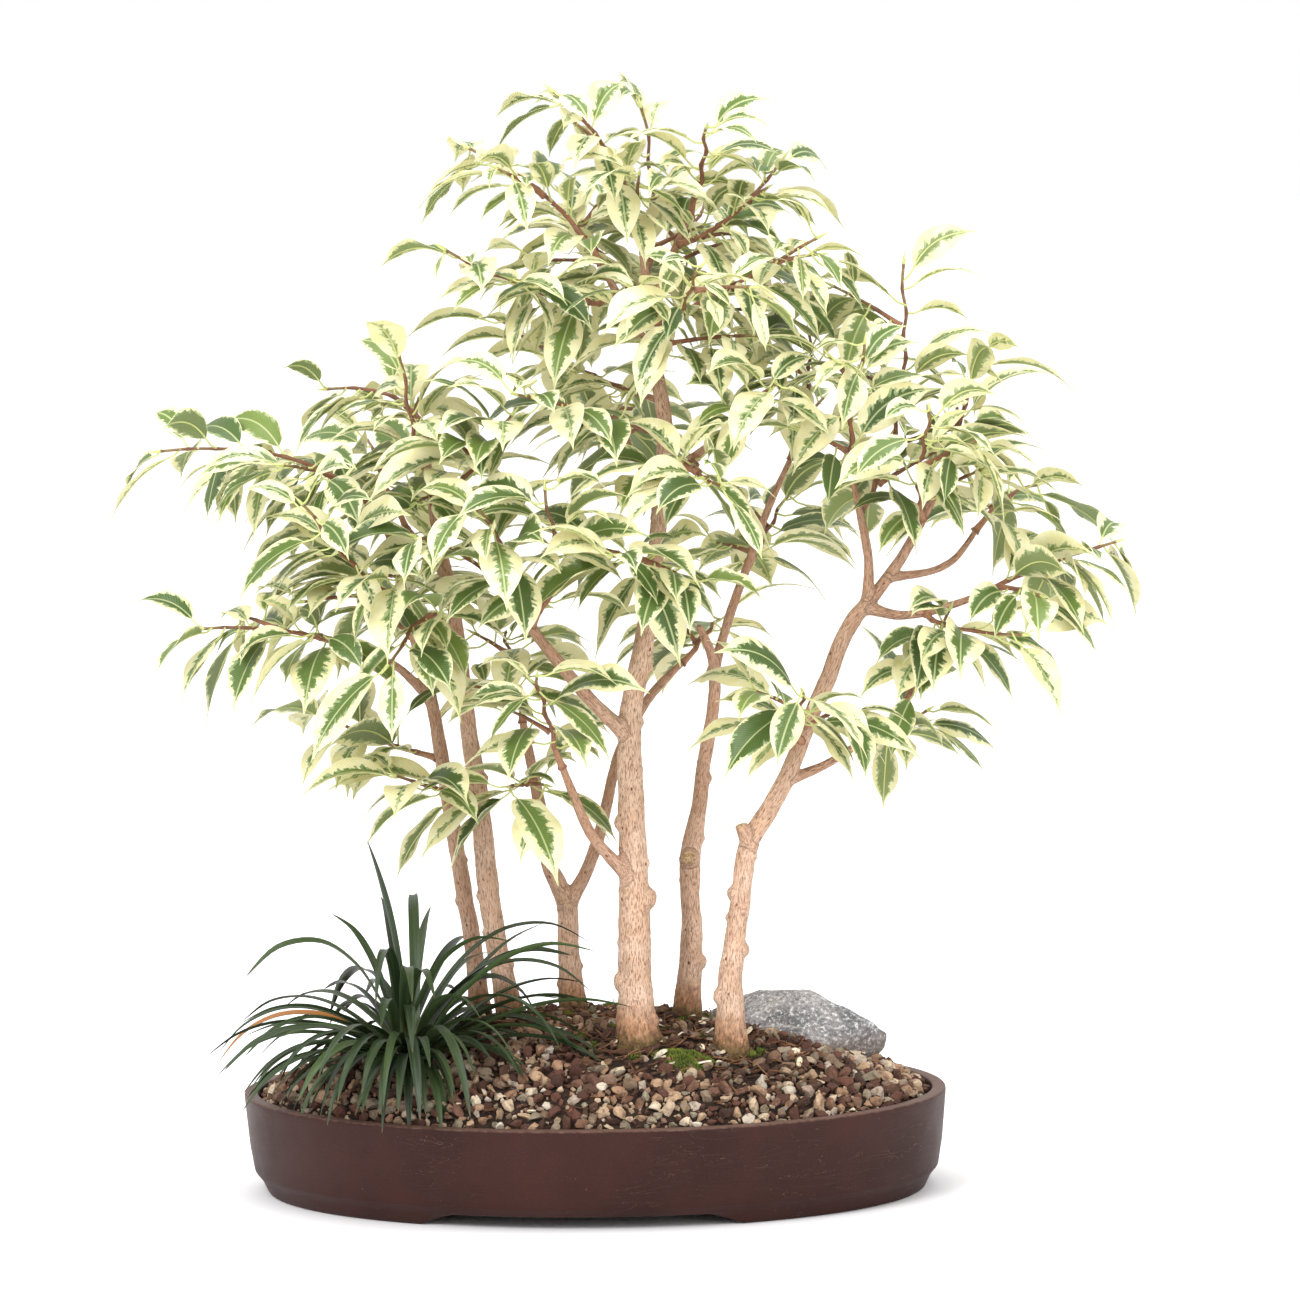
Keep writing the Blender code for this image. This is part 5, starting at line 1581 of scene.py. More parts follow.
def clay_finish():
    """Matt brown clay: cloudy from the kiln, with fine sand, hairline scratches, lime marks and a pale rim
    edge that is partly wear and partly a painted highlight.
    """
    clay = Finish("unglazed_clay", 0.5)
    place = clay.object_mm()
    clouds = clay.noise(place, 0.018, 4.0)
    sand = clay.noise(place, 1.6, 3.0, 0.7)
    colour = clay.mix(clay.rise(clouds, 0.3, 0.7), shade(52, 22, 16), shade(40, 16, 11))
    colour = clay.wash(colour, (68, 38, 30), sand, 0.50, 0.70, 0.0, 0.5)
    hair = clay.noise(clay.vector("MULTIPLY", place, (0.05, 0.05, 0.35)), 0.5, 2.0, 0.5, 1.4)
    line = clay.rise(clay.math("ABSOLUTE", clay.math("SUBTRACT", hair, 0.5)), 0.0, 0.0028, 0.7, 0.0)
    colour = clay.mix(clay.math("MULTIPLY", line, clay.rise(clouds, 0.45, 0.6)), colour,
                      shade(118, 90, 80))
    # Pale top edge of the rim: partly wear, partly a painted highlight where the light catches the lip.
    high = clay.math("MULTIPLY_ADD", clay.noise(place, 0.3, 4.0), 1.6, clay.split(place)[2])
    colour = clay.mix(clay.rise(high, TRAY_HEIGHT / MM - 0.3, TRAY_HEIGHT / MM + 1.0, 0.0, 0.4), colour,
                      shade(150, 118, 104))
    specks = clay.cells(place, 0.16)
    colour = clay.wash(colour, (150, 126, 112), specks, 0.02, 0.05, 0.45, 0.0)
    clay.set("Base Color", colour)
    clay.set("Roughness", clay.rise(clouds, 0.3, 0.7, 0.42, 0.56))
    clay.set("Specular IOR Level", 0.2)
    clay.bump(clay.math("ADD", sand, clay.math("MULTIPLY", line, -0.6)), 0.18, 0.45)
    return clay.look


make_tray(clay_finish())

# %% Mesh squares over the drain holes
def mesh_finish():
    plastic = Finish("mesh_plastic", 0.55)
    worn = plastic.noise(plastic.object_mm(), 0.6, 4.0)
    plastic.set("Base Color", plastic.mix(plastic.rise(worn, 0.4, 0.7), shade(30, 31, 32), shade(62, 58, 52)))
    plastic.bump(worn, 0.15, 0.4)
    return plastic.look


plastic = mesh_finish()
for name in ("drain_mesh_left", "drain_mesh_right"):
    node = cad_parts[name]
    for slot in node.material_slots:
        slot.material = plastic
    print(name, "keeps its shape")

# %% [markdown]
# ## Soil and grit
#
# The bed is dark leaf mould covered with crushed pumice and lava, 2 to 8 mm across, which
# keeps the mould open. A bumpy surface alone looks like a rug. So the mound carries a few
# thousand real grains: one rough ball, knocked into shape anew for each grain. They are
# strewn so that they hardly overlap, large ones first and small ones in the gaps.

# %% The mound
def soil_finish():
    mould = Finish("leaf_mould", 0.95)
    place = mould.object_mm()
    fibre = mould.noise(place, 0.9, 6.0, 0.7, 0.8)
    lumps = mould.noise(place, 0.12, 3.0)
    colour = mould.ramp(fibre, [(0.3, (16, 10, 6)), (0.5, (38, 23, 13)),
                                (0.62, (70, 44, 26)), (0.75, (112, 76, 48))])
    colour = mould.wash(colour, (74, 52, 40), lumps, 0.4, 0.7, 0.0, 0.4)
    mould.set("Base Color", colour)
    mould.bump(fibre, 1.2, 1.0)
    return mould.look


def make_soil(look):
    floor = FOOT_HEIGHT + TRAY_FLOOR + GAP
    inner = TRAY_WALL + TRAY_DRAFT + GAP + 0.0004
    half_length, half_width = bed_half()
    count = 300
    rings = [oval(TRAY_LENGTH / 2 - inset, TRAY_WIDTH / 2 - inset, height, count)
             for inset, height in ((inner + 0.04, floor), (inner + 0.0065, floor), (inner, floor + 0.0085))]
    for k in range(70):
        share = 1 - k / 70
        ring = []
        for p in oval(half_length * share, half_width * share, 0, count):
            rough = noise.noise(p * 160) * 0.9 + noise.noise(p * 420) * 0.5 + noise.noise(p * 45) * 1.0
            edge = min((1 - share) * 12, 1)
            ring.append(Vector((p.x, p.y, mound(p.x, p.y) - 0.0006 + rough * edge * MM)))
        rings.append(ring)
    gathering = Gathering()
    gathering.add([p for ring in rings for p in ring], loft_faces(len(rings), count))
    dress(gathering.piece("soil_mound", [look], 180), "gritty_soil", "soil")


make_soil(soil_finish())


# %% Where grains may lie
def taken_places():
    """Discs (x, y, radius) in metres that trunks and grass keep free of grains."""
    discs = [(stems[0][0][0] * MM, stems[0][0][1] * MM, stems[0][0][3] * MM * 1.15)
             for stems in TREES.values()]
    middle = tuft_centre()
    return discs + [(middle.x, middle.y, TUFT_RADIUS * 0.8)]


def in_stone(x, y):
    half_length, half_width = bed_half()
    dx = (x - STONE_PLACE[0] * half_length) / (STONE_SIZE[0] * 0.44)
    dy = (y - STONE_PLACE[1] * half_width) / (STONE_SIZE[1] * 0.44)
    return dx * dx + dy * dy < 1


def strewn(sizes, tries, spread, rng, placed):
    """Places for grains, each kept its own size times spread from the ones before."""
    cell = 0.006
    discs = taken_places()
    half_length, half_width = bed_half()
    made = []
    for _ in range(tries):
        radius = rng.uniform(*sizes) * MM
        turn, far = rng.uniform(0, math.tau), math.sqrt(rng.random())
        x = math.cos(turn) * far * (half_length - radius)
        y = math.sin(turn) * far * (half_width - radius)
        if in_stone(x, y) or any(math.hypot(x - a, y - b) < r for a, b, r in discs):
            continue
        key = (int(x // cell), int(y // cell))
        near = [g for i in (-1, 0, 1) for j in (-1, 0, 1) for g in placed.get((key[0] + i, key[1] + j), [])]
        if any(math.hypot(x - a, y - b) < (radius + r) * spread for a, b, r in near):
            continue
        placed.setdefault(key, []).append((x, y, radius))
        made.append((x, y, radius))
    return made


rng = random.Random(21)
placed = {}
large_places = strewn((2.2, 3.6), 5200, 0.80, rng, placed)
middle_places = strewn((1.4, 2.2), 16000, 0.82, rng, placed)
small_places = strewn((0.7, 1.3), 26000, 0.84, rng, placed)
print(len(large_places), "large,", len(middle_places), "middle and", len(small_places), "small grains")


# %% Knock grains into shape
def rough_ball(subdivisions):
    shape = bmesh.new()
    bmesh.ops.create_icosphere(shape, subdivisions=subdivisions, radius=1)
    points = np.array([tuple(v.co) for v in shape.verts])
    faces = [tuple(v.index for v in f.verts) for f in shape.faces]
    shape.free()
    return points, faces


def turned(points, rng):
    """Points turned by an even random rotation."""
    axis = Vector((rng.gauss(0, 1), rng.gauss(0, 1), rng.gauss(0, 1))).normalized()
    return points @ np.array(Matrix.Rotation(rng.uniform(0, math.tau), 3, axis))


def grain(ball, radius, rng):
    """A broken grain: the ball with flats knocked on it, squeezed and turned."""
    points = ball.copy()
    for _ in range(7):
        normal = np.array([rng.gauss(0, 1) for _ in range(3)])
        normal /= np.linalg.norm(normal)
        over = np.maximum(points @ normal - rng.uniform(0.35, 0.72), 0)
        points = points - np.outer(over, normal)
    points = points + np.array([rng.uniform(-0.10, 0.10) for _ in range(points.size)]).reshape(-1, 3)
    points = points * np.array([1.15, rng.uniform(0.8, 1.05), rng.uniform(0.62, 0.95)])
    return turned(points, rng) * radius * 1.34


def near_trunks(x, y):
    """1 close to the middle of the planting, where mould covers the grit, 0 far from it."""
    reach = min(math.hypot(x - s[0][0][0] * MM, (y - s[0][0][1] * MM) * 1.3) for s in TREES.values())
    return min(max((0.050 - reach) / 0.030, 0), 1)


GRAIN_KINDS = ("pumice_grit", "lava_grit", "fine_grit")
LAVA_SHARE = 0.40
FINE_RADIUS = 0.0013  # metres; smaller grains of both kinds share one finish


def make_grit():
    rng = random.Random(99)
    gatherings = {kind: Gathering() for kind in GRAIN_KINDS}
    fine_ball, plain_ball = rough_ball(2), rough_ball(1)
    for places, (ball, faces), sunk in ((large_places, fine_ball, 0.30), (middle_places, plain_ball, 0.2),
                                        (small_places, plain_ball, 0.1)):
        for x, y, radius in places:
            covered = near_trunks(x, y)
            if rng.random() < covered * 0.62:
                continue
            lava = rng.random() < LAVA_SHARE
            kind = "lava_grit" if lava else "pumice_grit"
            if radius <= FINE_RADIUS:
                kind = "fine_grit"
            points = grain(ball, radius, rng)
            points = points + np.array((x, y, mound(x, y) + radius * (0.55 - sunk)))
            tint = rng.random() * 0.42 + 0.58 * lava if kind == "fine_grit" else rng.random()
            gatherings[kind].add(points, faces, (0, 0, 0), (tint, rng.random(), covered))
    return gatherings


grit = make_grit()


def grit_finish(name, stops):
    """Chalky stone with pores whose pits are darkened as painted shade; each grain has its own tint and its
    own dirt.
    """
    stone = Finish(name, 0.9)
    tint, seed, covered = stone.split(stone.attribute("own"))
    place = stone.vector("ADD", stone.object_mm(), stone.join(0.0, 0.0, stone.math("MULTIPLY", seed, 80.0)))
    grains = stone.noise(place, 0.7, 5.0, 0.7)
    colour = stone.ramp(tint, stops)
    dusty = stone.mix(0.6, colour, shade(104, 74, 54))
    colour = stone.mix(stone.rise(grains, 0.45, 0.72, 0.0, 0.5), colour, dusty)
    colour = stone.wash(colour, (250, 240, 220), grains, 0.40, 0.26, 0.0, 0.5)
    # Painted shade: the pits of the pores are darkened as if the light did not reach into them.
    shaded_pores = stone.cells(place, 1.6)
    colour = stone.wash(colour, (62, 40, 28), shaded_pores, 0.10, 0.24, 0.75, 0.0)
    crust = stone.noise(place, 0.28, 3.0)
    colour = stone.wash(colour, (84, 56, 40), crust, 0.5, 0.66, 0.0, 0.6)
    colour = stone.mix(stone.math("MULTIPLY_ADD", covered, 0.5, 0.10), colour, shade(50, 30, 20))
    stone.set("Base Color", colour)
    stone.bump(stone.math("ADD", grains, stone.math("MULTIPLY", shaded_pores, 0.5)), 0.5, 0.9)
    return stone.look


PUMICE = [(0.0, (232, 214, 186)), (0.2, (200, 168, 136)), (0.4, (166, 126, 98)),
          (0.6, (156, 148, 126)), (0.85, (120, 82, 60)), (1.0, (240, 228, 208))]
LAVA = [(0.0, (78, 46, 36)), (0.4, (106, 66, 52)), (0.7, (54, 32, 24)),
        (1.0, (132, 94, 76))]
MIXED = [(0.0, (204, 180, 150)), (0.3, (156, 116, 88)), (0.45, (86, 54, 40)),
         (1.0, (40, 24, 16))]
for kind, stops in zip(GRAIN_KINDS, (PUMICE, LAVA, MIXED)):
    dress(grit[kind].piece(kind, [grit_finish(kind, stops)], 24), "gritty_soil")

# %% [markdown]
# ## Litter
#
# Under a tree lie bits of bark, dead stalks, pale flakes of shell and root fibres. They are
# small bent slivers. A handful of shapes is enough, since each is bent and turned anew.

# %% Slivers, flakes and fibres
def sliver(length, width, thick, rng):
    """A thin bent strip with uneven ends, as rings of four points."""
    bend, twist = rng.uniform(-0.25, 0.25), rng.uniform(-0.5, 0.5)
    rings = []
    for k in range(7):
        t = k / 6 - 0.5
        half = width / 2 * (1 - abs(2 * t) ** 4 * rng.uniform(0.5, 0.9))
        turn = twist * t
        centre = Vector((t * length, 0, bend * length * (0.25 - t * t)))
        side = Vector((0, math.cos(turn), math.sin(turn)))
        top = Vector((0, -math.sin(turn), math.cos(turn))) * thick / 2
        rings.append([centre + side * half - top, centre + side * half + top,
                      centre - side * half + top, centre - side * half - top])
    return np.array([tuple(p) for ring in rings for p in ring]), loft_faces(7, 4)


LITTER = {  # how many, length, width and thickness in millimetres, and the tint's range
    "bark_bits": (420, (3, 9), (1.2, 3.0), (0.4, 1.0), (0.0, 0.45)),
    "pale_flakes": (90, (4, 9), (2.0, 4.0), (0.5, 0.9), (0.85, 1.0)),
    "fibres": (620, (5, 16), (0.35, 0.8), (0.3, 0.5), (0.3, 0.7)),
}


def make_litter():
    rng = random.Random(57)
    gathering = Gathering()
    half_length, half_width = bed_half()
    for count, lengths, widths, thicks, tints in LITTER.values():
        laid = 0
        while laid < count:
            turn, far = rng.uniform(0, math.tau), math.sqrt(rng.random()) * 0.93
            x, y = math.cos(turn) * far * half_length, math.sin(turn) * far * half_width
            if rng.random() > 0.12 + 0.9 * near_trunks(x, y) or in_stone(x, y):
                continue
            points, faces = sliver(rng.uniform(*lengths) * MM, rng.uniform(*widths) * MM,
                                   rng.uniform(*thicks) * MM, rng)
            lean = Matrix.Rotation(rng.uniform(0, math.tau), 3, "Z")
            for axis, spread in (("Y", 0.3), ("X", 0.4)):
                lean = lean @ Matrix.Rotation(rng.gauss(0, spread), 3, axis)
            points = points @ np.array(lean).T + np.array((x, y, mound(x, y) + rng.uniform(0.8, 2.6) * MM))
            gathering.add(points, faces, (0, 0, 0), (rng.uniform(*tints), rng.random(), 0))
            laid += 1
    return gathering


def litter_finish():
    litter = Finish("leaf_litter", 0.9)
    tint = litter.split(litter.attribute("own"))[0]
    streak = litter.noise(litter.object_mm(), 0.8, 5.0, 0.7)
    colour = litter.ramp(tint, [(0.0, (52, 32, 22)), (0.4, (96, 62, 40)), (0.7, (150, 106, 70)),
                                (0.86, (226, 206, 170)), (1.0, (244, 234, 214))])
    dark = litter.mix(0.6, colour, shade(60, 40, 26))
    colour = litter.mix(litter.rise(streak, 0.4, 0.7, 0.0, 0.6), colour, dark)
    litter.set("Base Color", colour)
    litter.bump(streak, 0.4, 0.8)
    return litter.look


dress(make_litter().piece("leaf_litter", [litter_finish()], 50), "gritty_soil")

# %% [markdown]
# ## The stone
#
# A grey slab leans on the mound at the right. It is the same knocked ball as in the packed
# model, with many more points: broad flats first, then a rough broken surface and thin
# layers from noise. The grey carries white veins of lime and a few bright crystals.

# %% Make the stone
STONE_DETAIL = 7


def make_stone(look):
    points, faces = rough_ball(STONE_DETAIL)
    half_length, half_width = bed_half()
    centre = Vector((STONE_PLACE[0] * half_length, STONE_PLACE[1] * half_width, 0))
    centre.z = mound(centre.x, centre.y) + STONE_SIZE[2] / 2 - STONE_SINK
    rng = random.Random(5)
    cuts = [
        (Vector((rng.uniform(-1, 1), rng.uniform(-1, 1), rng.uniform(-0.6, 1))).normalized(),
         rng.uniform(0.74, 0.94))
        for _ in range(11)
    ]
    for normal, depth in cuts:
        over = np.maximum(points @ np.array(normal) - depth, 0)
        points = points - np.outer(over * 0.9, np.array(normal))
    out = unit(points)
    size = np.array(STONE_SIZE) / 2 * 1.12
    points = points * size
    points[:, 2] -= STONE_LEAN * points[:, 0]
    rough = np.empty(len(points))
    for i, p in enumerate(points):
        spot = Vector(p)
        layer = noise.noise(Vector((spot.x * 30, spot.y * 30, spot.z * 240)))
        rough[i] = (noise.fractal(spot * 90, 0.9, 2.1, 6) * 0.8 + layer * 0.7
                    + (0.5 - noise.noise(spot * 45)) * 0.9)
    points = points + out * (rough * 0.95 * MM)[:, None]
    turn = np.array(Matrix.Rotation(math.radians(-8), 3, "Z"))
    points = points @ turn.T + np.array(centre)
    gathering = Gathering()
    gathering.add(points, faces)
    dress(gathering.piece("grey_slab", [look], 60), "grey_stone", "stone")


def stone_finish():
    slab = Finish("lime_stone", 0.82)
    place = slab.object_mm()
    broad = slab.noise(place, 0.05, 5.0, 0.62, 0.6)
    fine = slab.noise(place, 0.55, 6.0, 0.7)
    layered = slab.noise(slab.vector("MULTIPLY", place, (0.06, 0.06, 0.5)), 1.0, 4.0, 0.65, 0.8)
    colour = slab.ramp(broad, [(0.3, (96, 95, 98)), (0.45, (132, 130, 132)), (0.6, (160, 156, 156)),
                               (0.72, (196, 192, 190))])
    colour = slab.wash(colour, (210, 207, 205), layered, 0.55, 0.68, 0.0, 0.55)
    colour = slab.wash(colour, (224, 222, 220), fine, 0.53, 0.62, 0.0, 0.85)
    colour = slab.wash(colour, (74, 74, 78), fine, 0.47, 0.36, 0.0, 0.7)
    low = slab.split(place)[2]
    colour = slab.mix(slab.rise(slab.math("MULTIPLY_ADD", fine, 10.0, low), 74.0, 84.0, 0.55, 0.0), colour,
                      shade(96, 78, 62))
    slab.set("Base Color", colour)
    slab.set("Roughness", slab.rise(fine, 0.35, 0.7, 0.9, 0.6))
    slab.bump(slab.math("ADD", fine, slab.math("MULTIPLY", layered, 0.6)), 0.7, 0.8)
    return slab.look


make_stone(stone_finish())

# %% [markdown]
# ## The mondo grass
#
# Each leaf is a narrow strap, channelled along its middle, that bows outwards and hangs over
# the rim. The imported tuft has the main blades. Between them stand more, all with their own
# length and bow. A strap is a loft of a thin boat-shaped section along its centre line.

# %% Grass blades
STRAP_SECTION = [(-1, 0.30), (-0.55, 0.02), (0, -0.18), (0.55, 0.02), (1, 0.30),
                 (0.55, 0.16), (0, -0.02), (-0.55, 0.16)]  # across and up, in half widths


def strap_width(share):
    """Narrow at the root, even in the middle, pointed at the end."""
    return min(0.55 + share * 1.6, 1.0) * (1 - max(share - 0.62, 0) ** 1.7 / 0.38**1.7) + 0.02


UPRIGHT_LEAN = 0.24  # a blade that stands straight up leans over by this share of its height


def add_strap(gathering, run, width, seed, dead):
    centres = [(p.x / MM, p.y / MM, p.z / MM, 1.0) for p, _ in run]
    fine = through(centres, 5)
    points, place = [], []
    length = 0
    reach = fine[-1][0] - fine[0][0]
    upright = max(0.0, 1 - 1.4 * math.hypot(reach.x, reach.y) / reach.length)
    lean = Vector((0.9 if seed > 0.5 else -0.9, -0.35, 0)) * UPRIGHT_LEAN * upright / max(reach.length, MM)
    fine = [(centre + lean * (centre.z - fine[0][0].z) ** 2, size) for centre, size in fine]
    reach = fine[-1][0] - fine[0][0]
    level = Vector((reach.y, -reach.x, 0)).normalized()
    width = width * (1 - 0.35 * upright)
    for i, (centre, _) in enumerate(fine):
        length += (centre - fine[i - 1][0]).length if i else 0
        share = i / (len(fine) - 1)
        heading = direction_at(fine, i)
        across = (level - heading * level.dot(heading)).normalized()
        up = across.cross(heading)
        turn = (seed - 0.5) * 1.5 * share
        cos, sin = math.cos(turn), math.sin(turn)
        across, up = across * cos + up * sin, up * cos - across * sin
        half = width / 2 * strap_width(share)
        for u, lift in STRAP_SECTION:
            points.append(centre + across * u * half + up * lift * half)
            place.append((u, length / MM, share))
    gathering.add(points, loft_faces(len(fine), len(STRAP_SECTION)), place, (seed, dead, 0))


EXTRA_STRAPS = 84


def extra_blades(crowded):
    rng = random.Random(64)
    made = []
    middle = tuft_centre()
    for _ in range(EXTRA_STRAPS):
        for attempt in range(24):
            turn = rng.uniform(0, math.tau)
            lift = rng.uniform(0.25, 1.05)
            aim = Vector((math.cos(turn), math.sin(turn), lift)).normalized()
            root = middle + Vector((aim.x, aim.y, 0)) * TUFT_RADIUS * 0.7 + Vector((0, 0, 0.002))
            run = blade_run(root, aim, BLADE_LENGTH * rng.uniform(0.6, 1.12), rng.uniform(0.14, 0.36))
            width = BLADE_WIDTH * rng.uniform(0.7, 0.95)
            shape = loft(blade_rings(run, width, 0.0))
            low_enough = run[-1][0].z > TRAY_HEIGHT * 0.9
            if low_enough and (attempt == 23 or crowded.is_free(*shape)):
                crowded.add(*shape)
                made.append((run, width))
                break
    return made


def make_grass(look, crowded):
    gathering = Gathering()
    rng = random.Random(3)
    blades = tuft.blades + extra_blades(crowded)
    for number, (run, width) in enumerate(blades):
        add_strap(gathering, run, width * 1.15, rng.random(), 1.0 if number == 7 else 0.0)
    points, faces = crown_shape()
    gathering.add(points, faces, (0, 0, 0.5), (0.1, 0, 0))
    print(len(blades), "grass blades")
    dress(gathering.piece("mondo_straps", [look], 70), "grass_blade", "mondo_grass")


def grass_finish():
    grass = Finish("mondo_blade", 0.38)
    across, along, share = grass.split(grass.attribute("place"))
    seed, dead, _ = grass.split(grass.attribute("own"))
    lines = grass.noise(grass.join(grass.math("MULTIPLY", across, 5.0), grass.math("MULTIPLY", along, 0.02),
                                   grass.math("MULTIPLY", seed, 40.0)), 1.0, 2.0)
    colour = grass.ramp(seed, [(0.0, (24, 36, 20)), (0.4, (38, 54, 30)), (0.8, (54, 72, 40)),
                               (1.0, (70, 90, 50))])
    colour = grass.wash(colour, (86, 104, 66), lines, 0.4, 0.7, 0.0, 0.45)
    colour = grass.wash(colour, (150, 158, 110), share, 0.0, 0.16, 0.6, 0.0)
    colour = grass.wash(colour, (128, 106, 60), share, 0.94, 1.0, 0.0, 0.6)
    colour = grass.mix(dead, colour, shade(176, 116, 58))
    grass.set("Base Color", colour)
    grass.bump(lines, 0.25, 0.6)
    grass.translucent(0.12, colour)
    return grass.look


make_grass(grass_finish(), crowded)

# %% [markdown]
# ## Moss
#
# Moss sits in cushions at the roots: thousands of tiny pointed leaves on a low dome. Hair
# particles would give the look but no mesh, so each leaf is a small spike with four faces.

# %% Moss cushions
def add_spike(gathering, root, height, rng):
    lean = Vector((rng.gauss(0, 0.5), rng.gauss(0, 0.5), 1)).normalized()
    side = lean.orthogonal().normalized()
    other = lean.cross(side)
    turn, wide = rng.uniform(0, math.tau), height * 0.16
    ring = [root + wide * (side * math.cos(turn + k * 2.094) + other * math.sin(turn + k * 2.094))
            for k in range(3)]
    tip = root + lean * height
    gathering.add(ring + [tip], [(0, 2, 1), (0, 1, 3), (1, 2, 3), (2, 0, 3)], (0, 0, 0),
                  [(0.1, 0, 0)] * 3 + [(1.0, 0, 0)])


def make_moss(name, place, half_length, half_width, look, seed):
    rng = random.Random(seed)
    gathering = Gathering()
    x0, y0 = place[0] * MM, place[1] * MM
    rings, count = [], 48

    def dome(share, turn):
        wobble = 1 + 0.14 * math.sin(3 * turn + seed) + 0.07 * math.sin(7 * turn)
        x = x0 + half_length * MM * share * wobble * math.cos(turn)
        y = y0 + half_width * MM * share * wobble * math.sin(turn)
        lumps = noise.noise(Vector((x, y, 0)) * 220) * 0.0009
        return Vector((x, y, mound(x, y) + MOSS_THICKNESS * max(1 - share**2.4, 0) + lumps * (share < 0.95)))

    for share in (1.0, 0.92, 0.8, 0.62, 0.42, 0.2, 0.03):
        rings.append([dome(share, math.tau * k / count) for k in range(count)])
    rings.insert(0, [p - Vector((0, 0, 0.0008)) for p in rings[0]])
    gathering.add([p for ring in rings for p in ring], loft_faces(len(rings), count), (0, 0, 0), (0.15, 0, 0))
    for _ in range(2600):
        share, turn = math.sqrt(rng.random()), rng.uniform(0, math.tau)
        add_spike(gathering, dome(share, turn), rng.uniform(0.9, 2.1) * MM, rng)
    dress(gathering.piece(name + "_cushion", [look], 180), "moss", name)


def moss_finish():
    moss = Finish("cushion_moss", 0.8)
    tipped, _, _ = moss.split(moss.attribute("own"))
    patch = moss.noise(moss.object_mm(), 0.22, 4.0)
    young = moss.mix(moss.rise(patch, 0.35, 0.65), shade(96, 118, 26), shade(146, 158, 52))
    deep = moss.mix(moss.rise(patch, 0.4, 0.6), shade(52, 48, 18), shade(44, 60, 14))
    moss.set("Base Color", moss.mix(tipped, deep, young))
    moss.bump(patch, 0.4, 0.6)
    return moss.look


moss_look = moss_finish()
for seed, (name, spot) in enumerate(MOSS.items()):
    make_moss(name, *spot, moss_look, seed)


# %% Moss that creeps round the trunks' feet
def make_moss_specks(look):
    rng = random.Random(71)
    gathering = Gathering()
    for stems in TREES.values():
        x, y, _, radius = stems[0][0]
        for _ in range(9):
            turn = rng.uniform(0, math.tau)
            far = (radius * rng.uniform(1.0, 2.6) + 1) * MM
            cx, cy = x * MM + math.cos(turn) * far, y * MM + math.sin(turn) * far
            spread = rng.uniform(1.5, 4.5) * MM
            for _ in range(rng.randrange(30, 110)):
                px, py = cx + rng.gauss(0, spread / 2), cy + rng.gauss(0, spread / 2)
                root = Vector((px, py, mound(px, py) + rng.uniform(0.2, 1.2) * MM))
                add_spike(gathering, root, rng.uniform(1.0, 2.4) * MM, rng)
    dress(gathering.piece("moss_specks", [look], 180), "moss")


make_moss_specks(moss_look)

# %% [markdown]
# ## Studio
#
# A plain white room with soft light from all round, one large lamp above the front left and a
# weaker one at the right. The camera stands low and far off, with a long lens, so that the
# tray's oval is almost flat.

# %% Floor, light and colour
FLOOR_GLOW = 0.30  # lifts the paper to the white of the room, and keeps the shadow under the tray faint

def make_stage():
    mesh = bpy.data.meshes.new("studio_floor")
    half = 9.0
    mesh.from_pydata([(-half, -half, 0), (half, -half, 0), (half, half, 0), (-half, half, 0)],
                     [], [(0, 1, 2, 3)])
    paper = Finish("white_paper", 0.9)
    fibres = paper.noise(paper.object_mm(), 0.02, 2.0)
    white = paper.mix(fibres, shade(250, 249, 250), shade(246, 245, 246))
    paper.set("Base Color", white)
    paper.set("Emission Color", white)
    x, y, _ = paper.split(paper.object_mm())
    shares = [paper.math("DIVIDE", paper.math("SUBTRACT", value, middle / MM), side / 2 / MM)
              for value, middle, side in ((x, TRAY_MIDDLE.x, TRAY_LENGTH), (y, TRAY_MIDDLE.y, TRAY_WIDTH))]
    away = paper.math("ADD", *[paper.math("POWER", paper.math("ABSOLUTE", r), 2.0) for r in shares])
    paper.set("Emission Strength", paper.rise(away, 0.85, 1.6, 0.0, FLOOR_GLOW))
    mesh.materials.append(paper.look)
    floor = stand("studio_floor", mesh)
    floor.location.z = -0.0002
    floor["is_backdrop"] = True


def lamp(name, place, aim, size, power):
    light = bpy.data.lights.new(name, "AREA")
    light.shape, light.size, light.energy = "DISK", size, power
    made = stand(name, light)
    made.location = place
    made.rotation_euler = (Vector(aim) - Vector(place)).to_track_quat("-Z", "Y").to_euler()


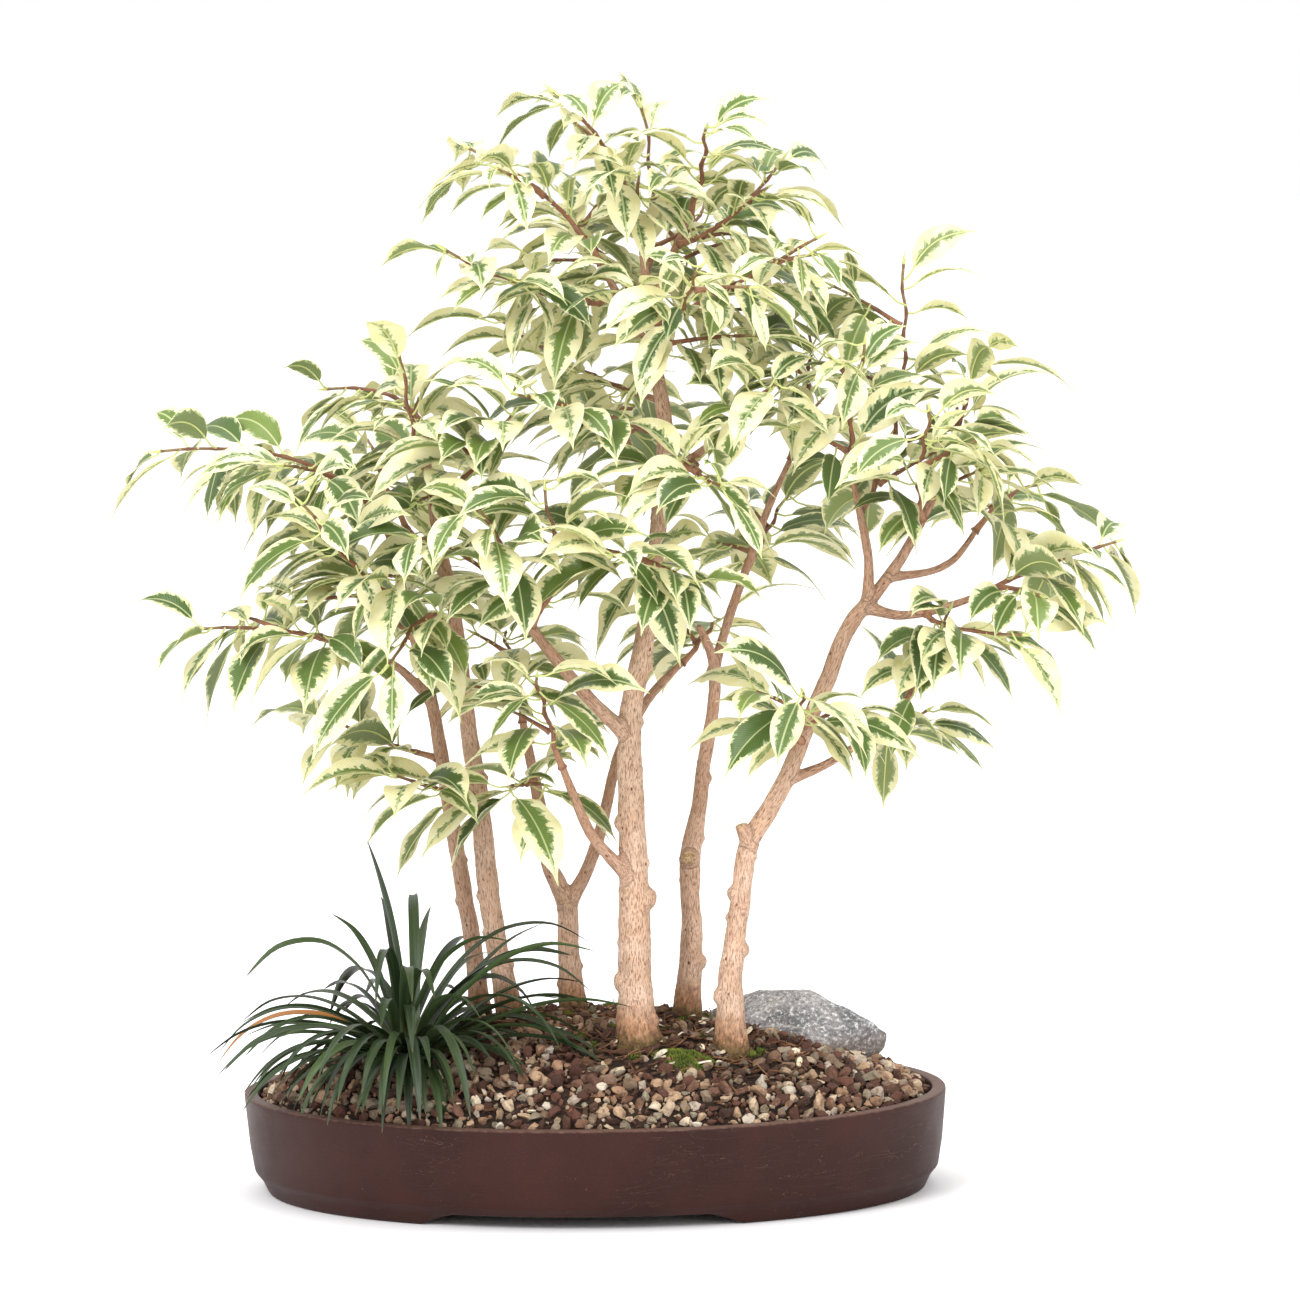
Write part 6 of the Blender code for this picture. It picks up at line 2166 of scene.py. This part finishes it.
WORLD_STRENGTH = 1.0
make_stage()
world = bpy.data.worlds.new("white_room")
world.use_nodes = True
world.node_tree.nodes["Background"].inputs["Color"].default_value = (1, 1, 1, 1)
world.node_tree.nodes["Background"].inputs["Strength"].default_value = WORLD_STRENGTH
bpy.context.scene.world = world
lamp("key", (-1.0, -1.7, 1.7), (0, 0, 0.25), 1.2, 34)
lamp("fill", (1.5, -1.3, 0.9), (0, 0, 0.25), 1.4, 14)
lamp("top", (0.1, 0.2, 2.1), (0, 0, 0.2), 1.4, 18)
bpy.context.scene.view_settings.view_transform = "Standard"

# %% [markdown]
# ## Camera
#
# The camera is set up as if it looked straight along the tray's short side from 7 degrees
# above, then swung a little to the right, because the tray stands slightly turned.

# %% Place the camera
CAMERA_LENS = 195.63
CAMERA_DISTANCE = 3.5
CAMERA_RISE = math.radians(7.0)
CAMERA_ROLL = math.radians(-0.96)
CAMERA_SWING = math.radians(4.46)
CAMERA_AIM = Vector((0.0313, 0, 0.269))
CAMERA_LEVEL = 0.25


def make_camera():
    eye = Vector((0, -CAMERA_DISTANCE * math.cos(CAMERA_RISE),
                  CAMERA_LEVEL + CAMERA_DISTANCE * math.sin(CAMERA_RISE)))
    ahead = (CAMERA_AIM - eye).normalized()
    right = ahead.cross(Vector((0, 0, 1))).normalized()
    up = right.cross(ahead)
    rolled_right = right * math.cos(CAMERA_ROLL) + up * math.sin(CAMERA_ROLL)
    rolled_up = up * math.cos(CAMERA_ROLL) - right * math.sin(CAMERA_ROLL)
    pose = Matrix((rolled_right, rolled_up, -ahead)).transposed().to_4x4()
    pose.translation = eye
    data = bpy.data.cameras.new("camera")
    data.lens = CAMERA_LENS
    data.sensor_width = 36
    camera = stand("camera", data)
    camera.matrix_world = Matrix.Translation(TRAY_MIDDLE) @ Matrix.Rotation(CAMERA_SWING, 4, "Z") @ pose
    bpy.context.scene.camera = camera
    return camera


camera = make_camera()
print("camera at", [round(v, 3) for v in camera.matrix_world.translation])

# %% [markdown]
# ## Last check
#
# How far the dressed scene's box stands from the imported model's box is printed, corner by corner.
# The dressed plant may stand only slightly proud of the imported model.

# %% Compare the boxes
bpy.context.view_layer.update()
low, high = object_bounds()
for label, a, b in (("low", cad_low, low), ("high", cad_high, high)):
    print(label, "corner moved by", [round((b[i] - a[i]) / MM, 1) for i in range(3)], "mm")
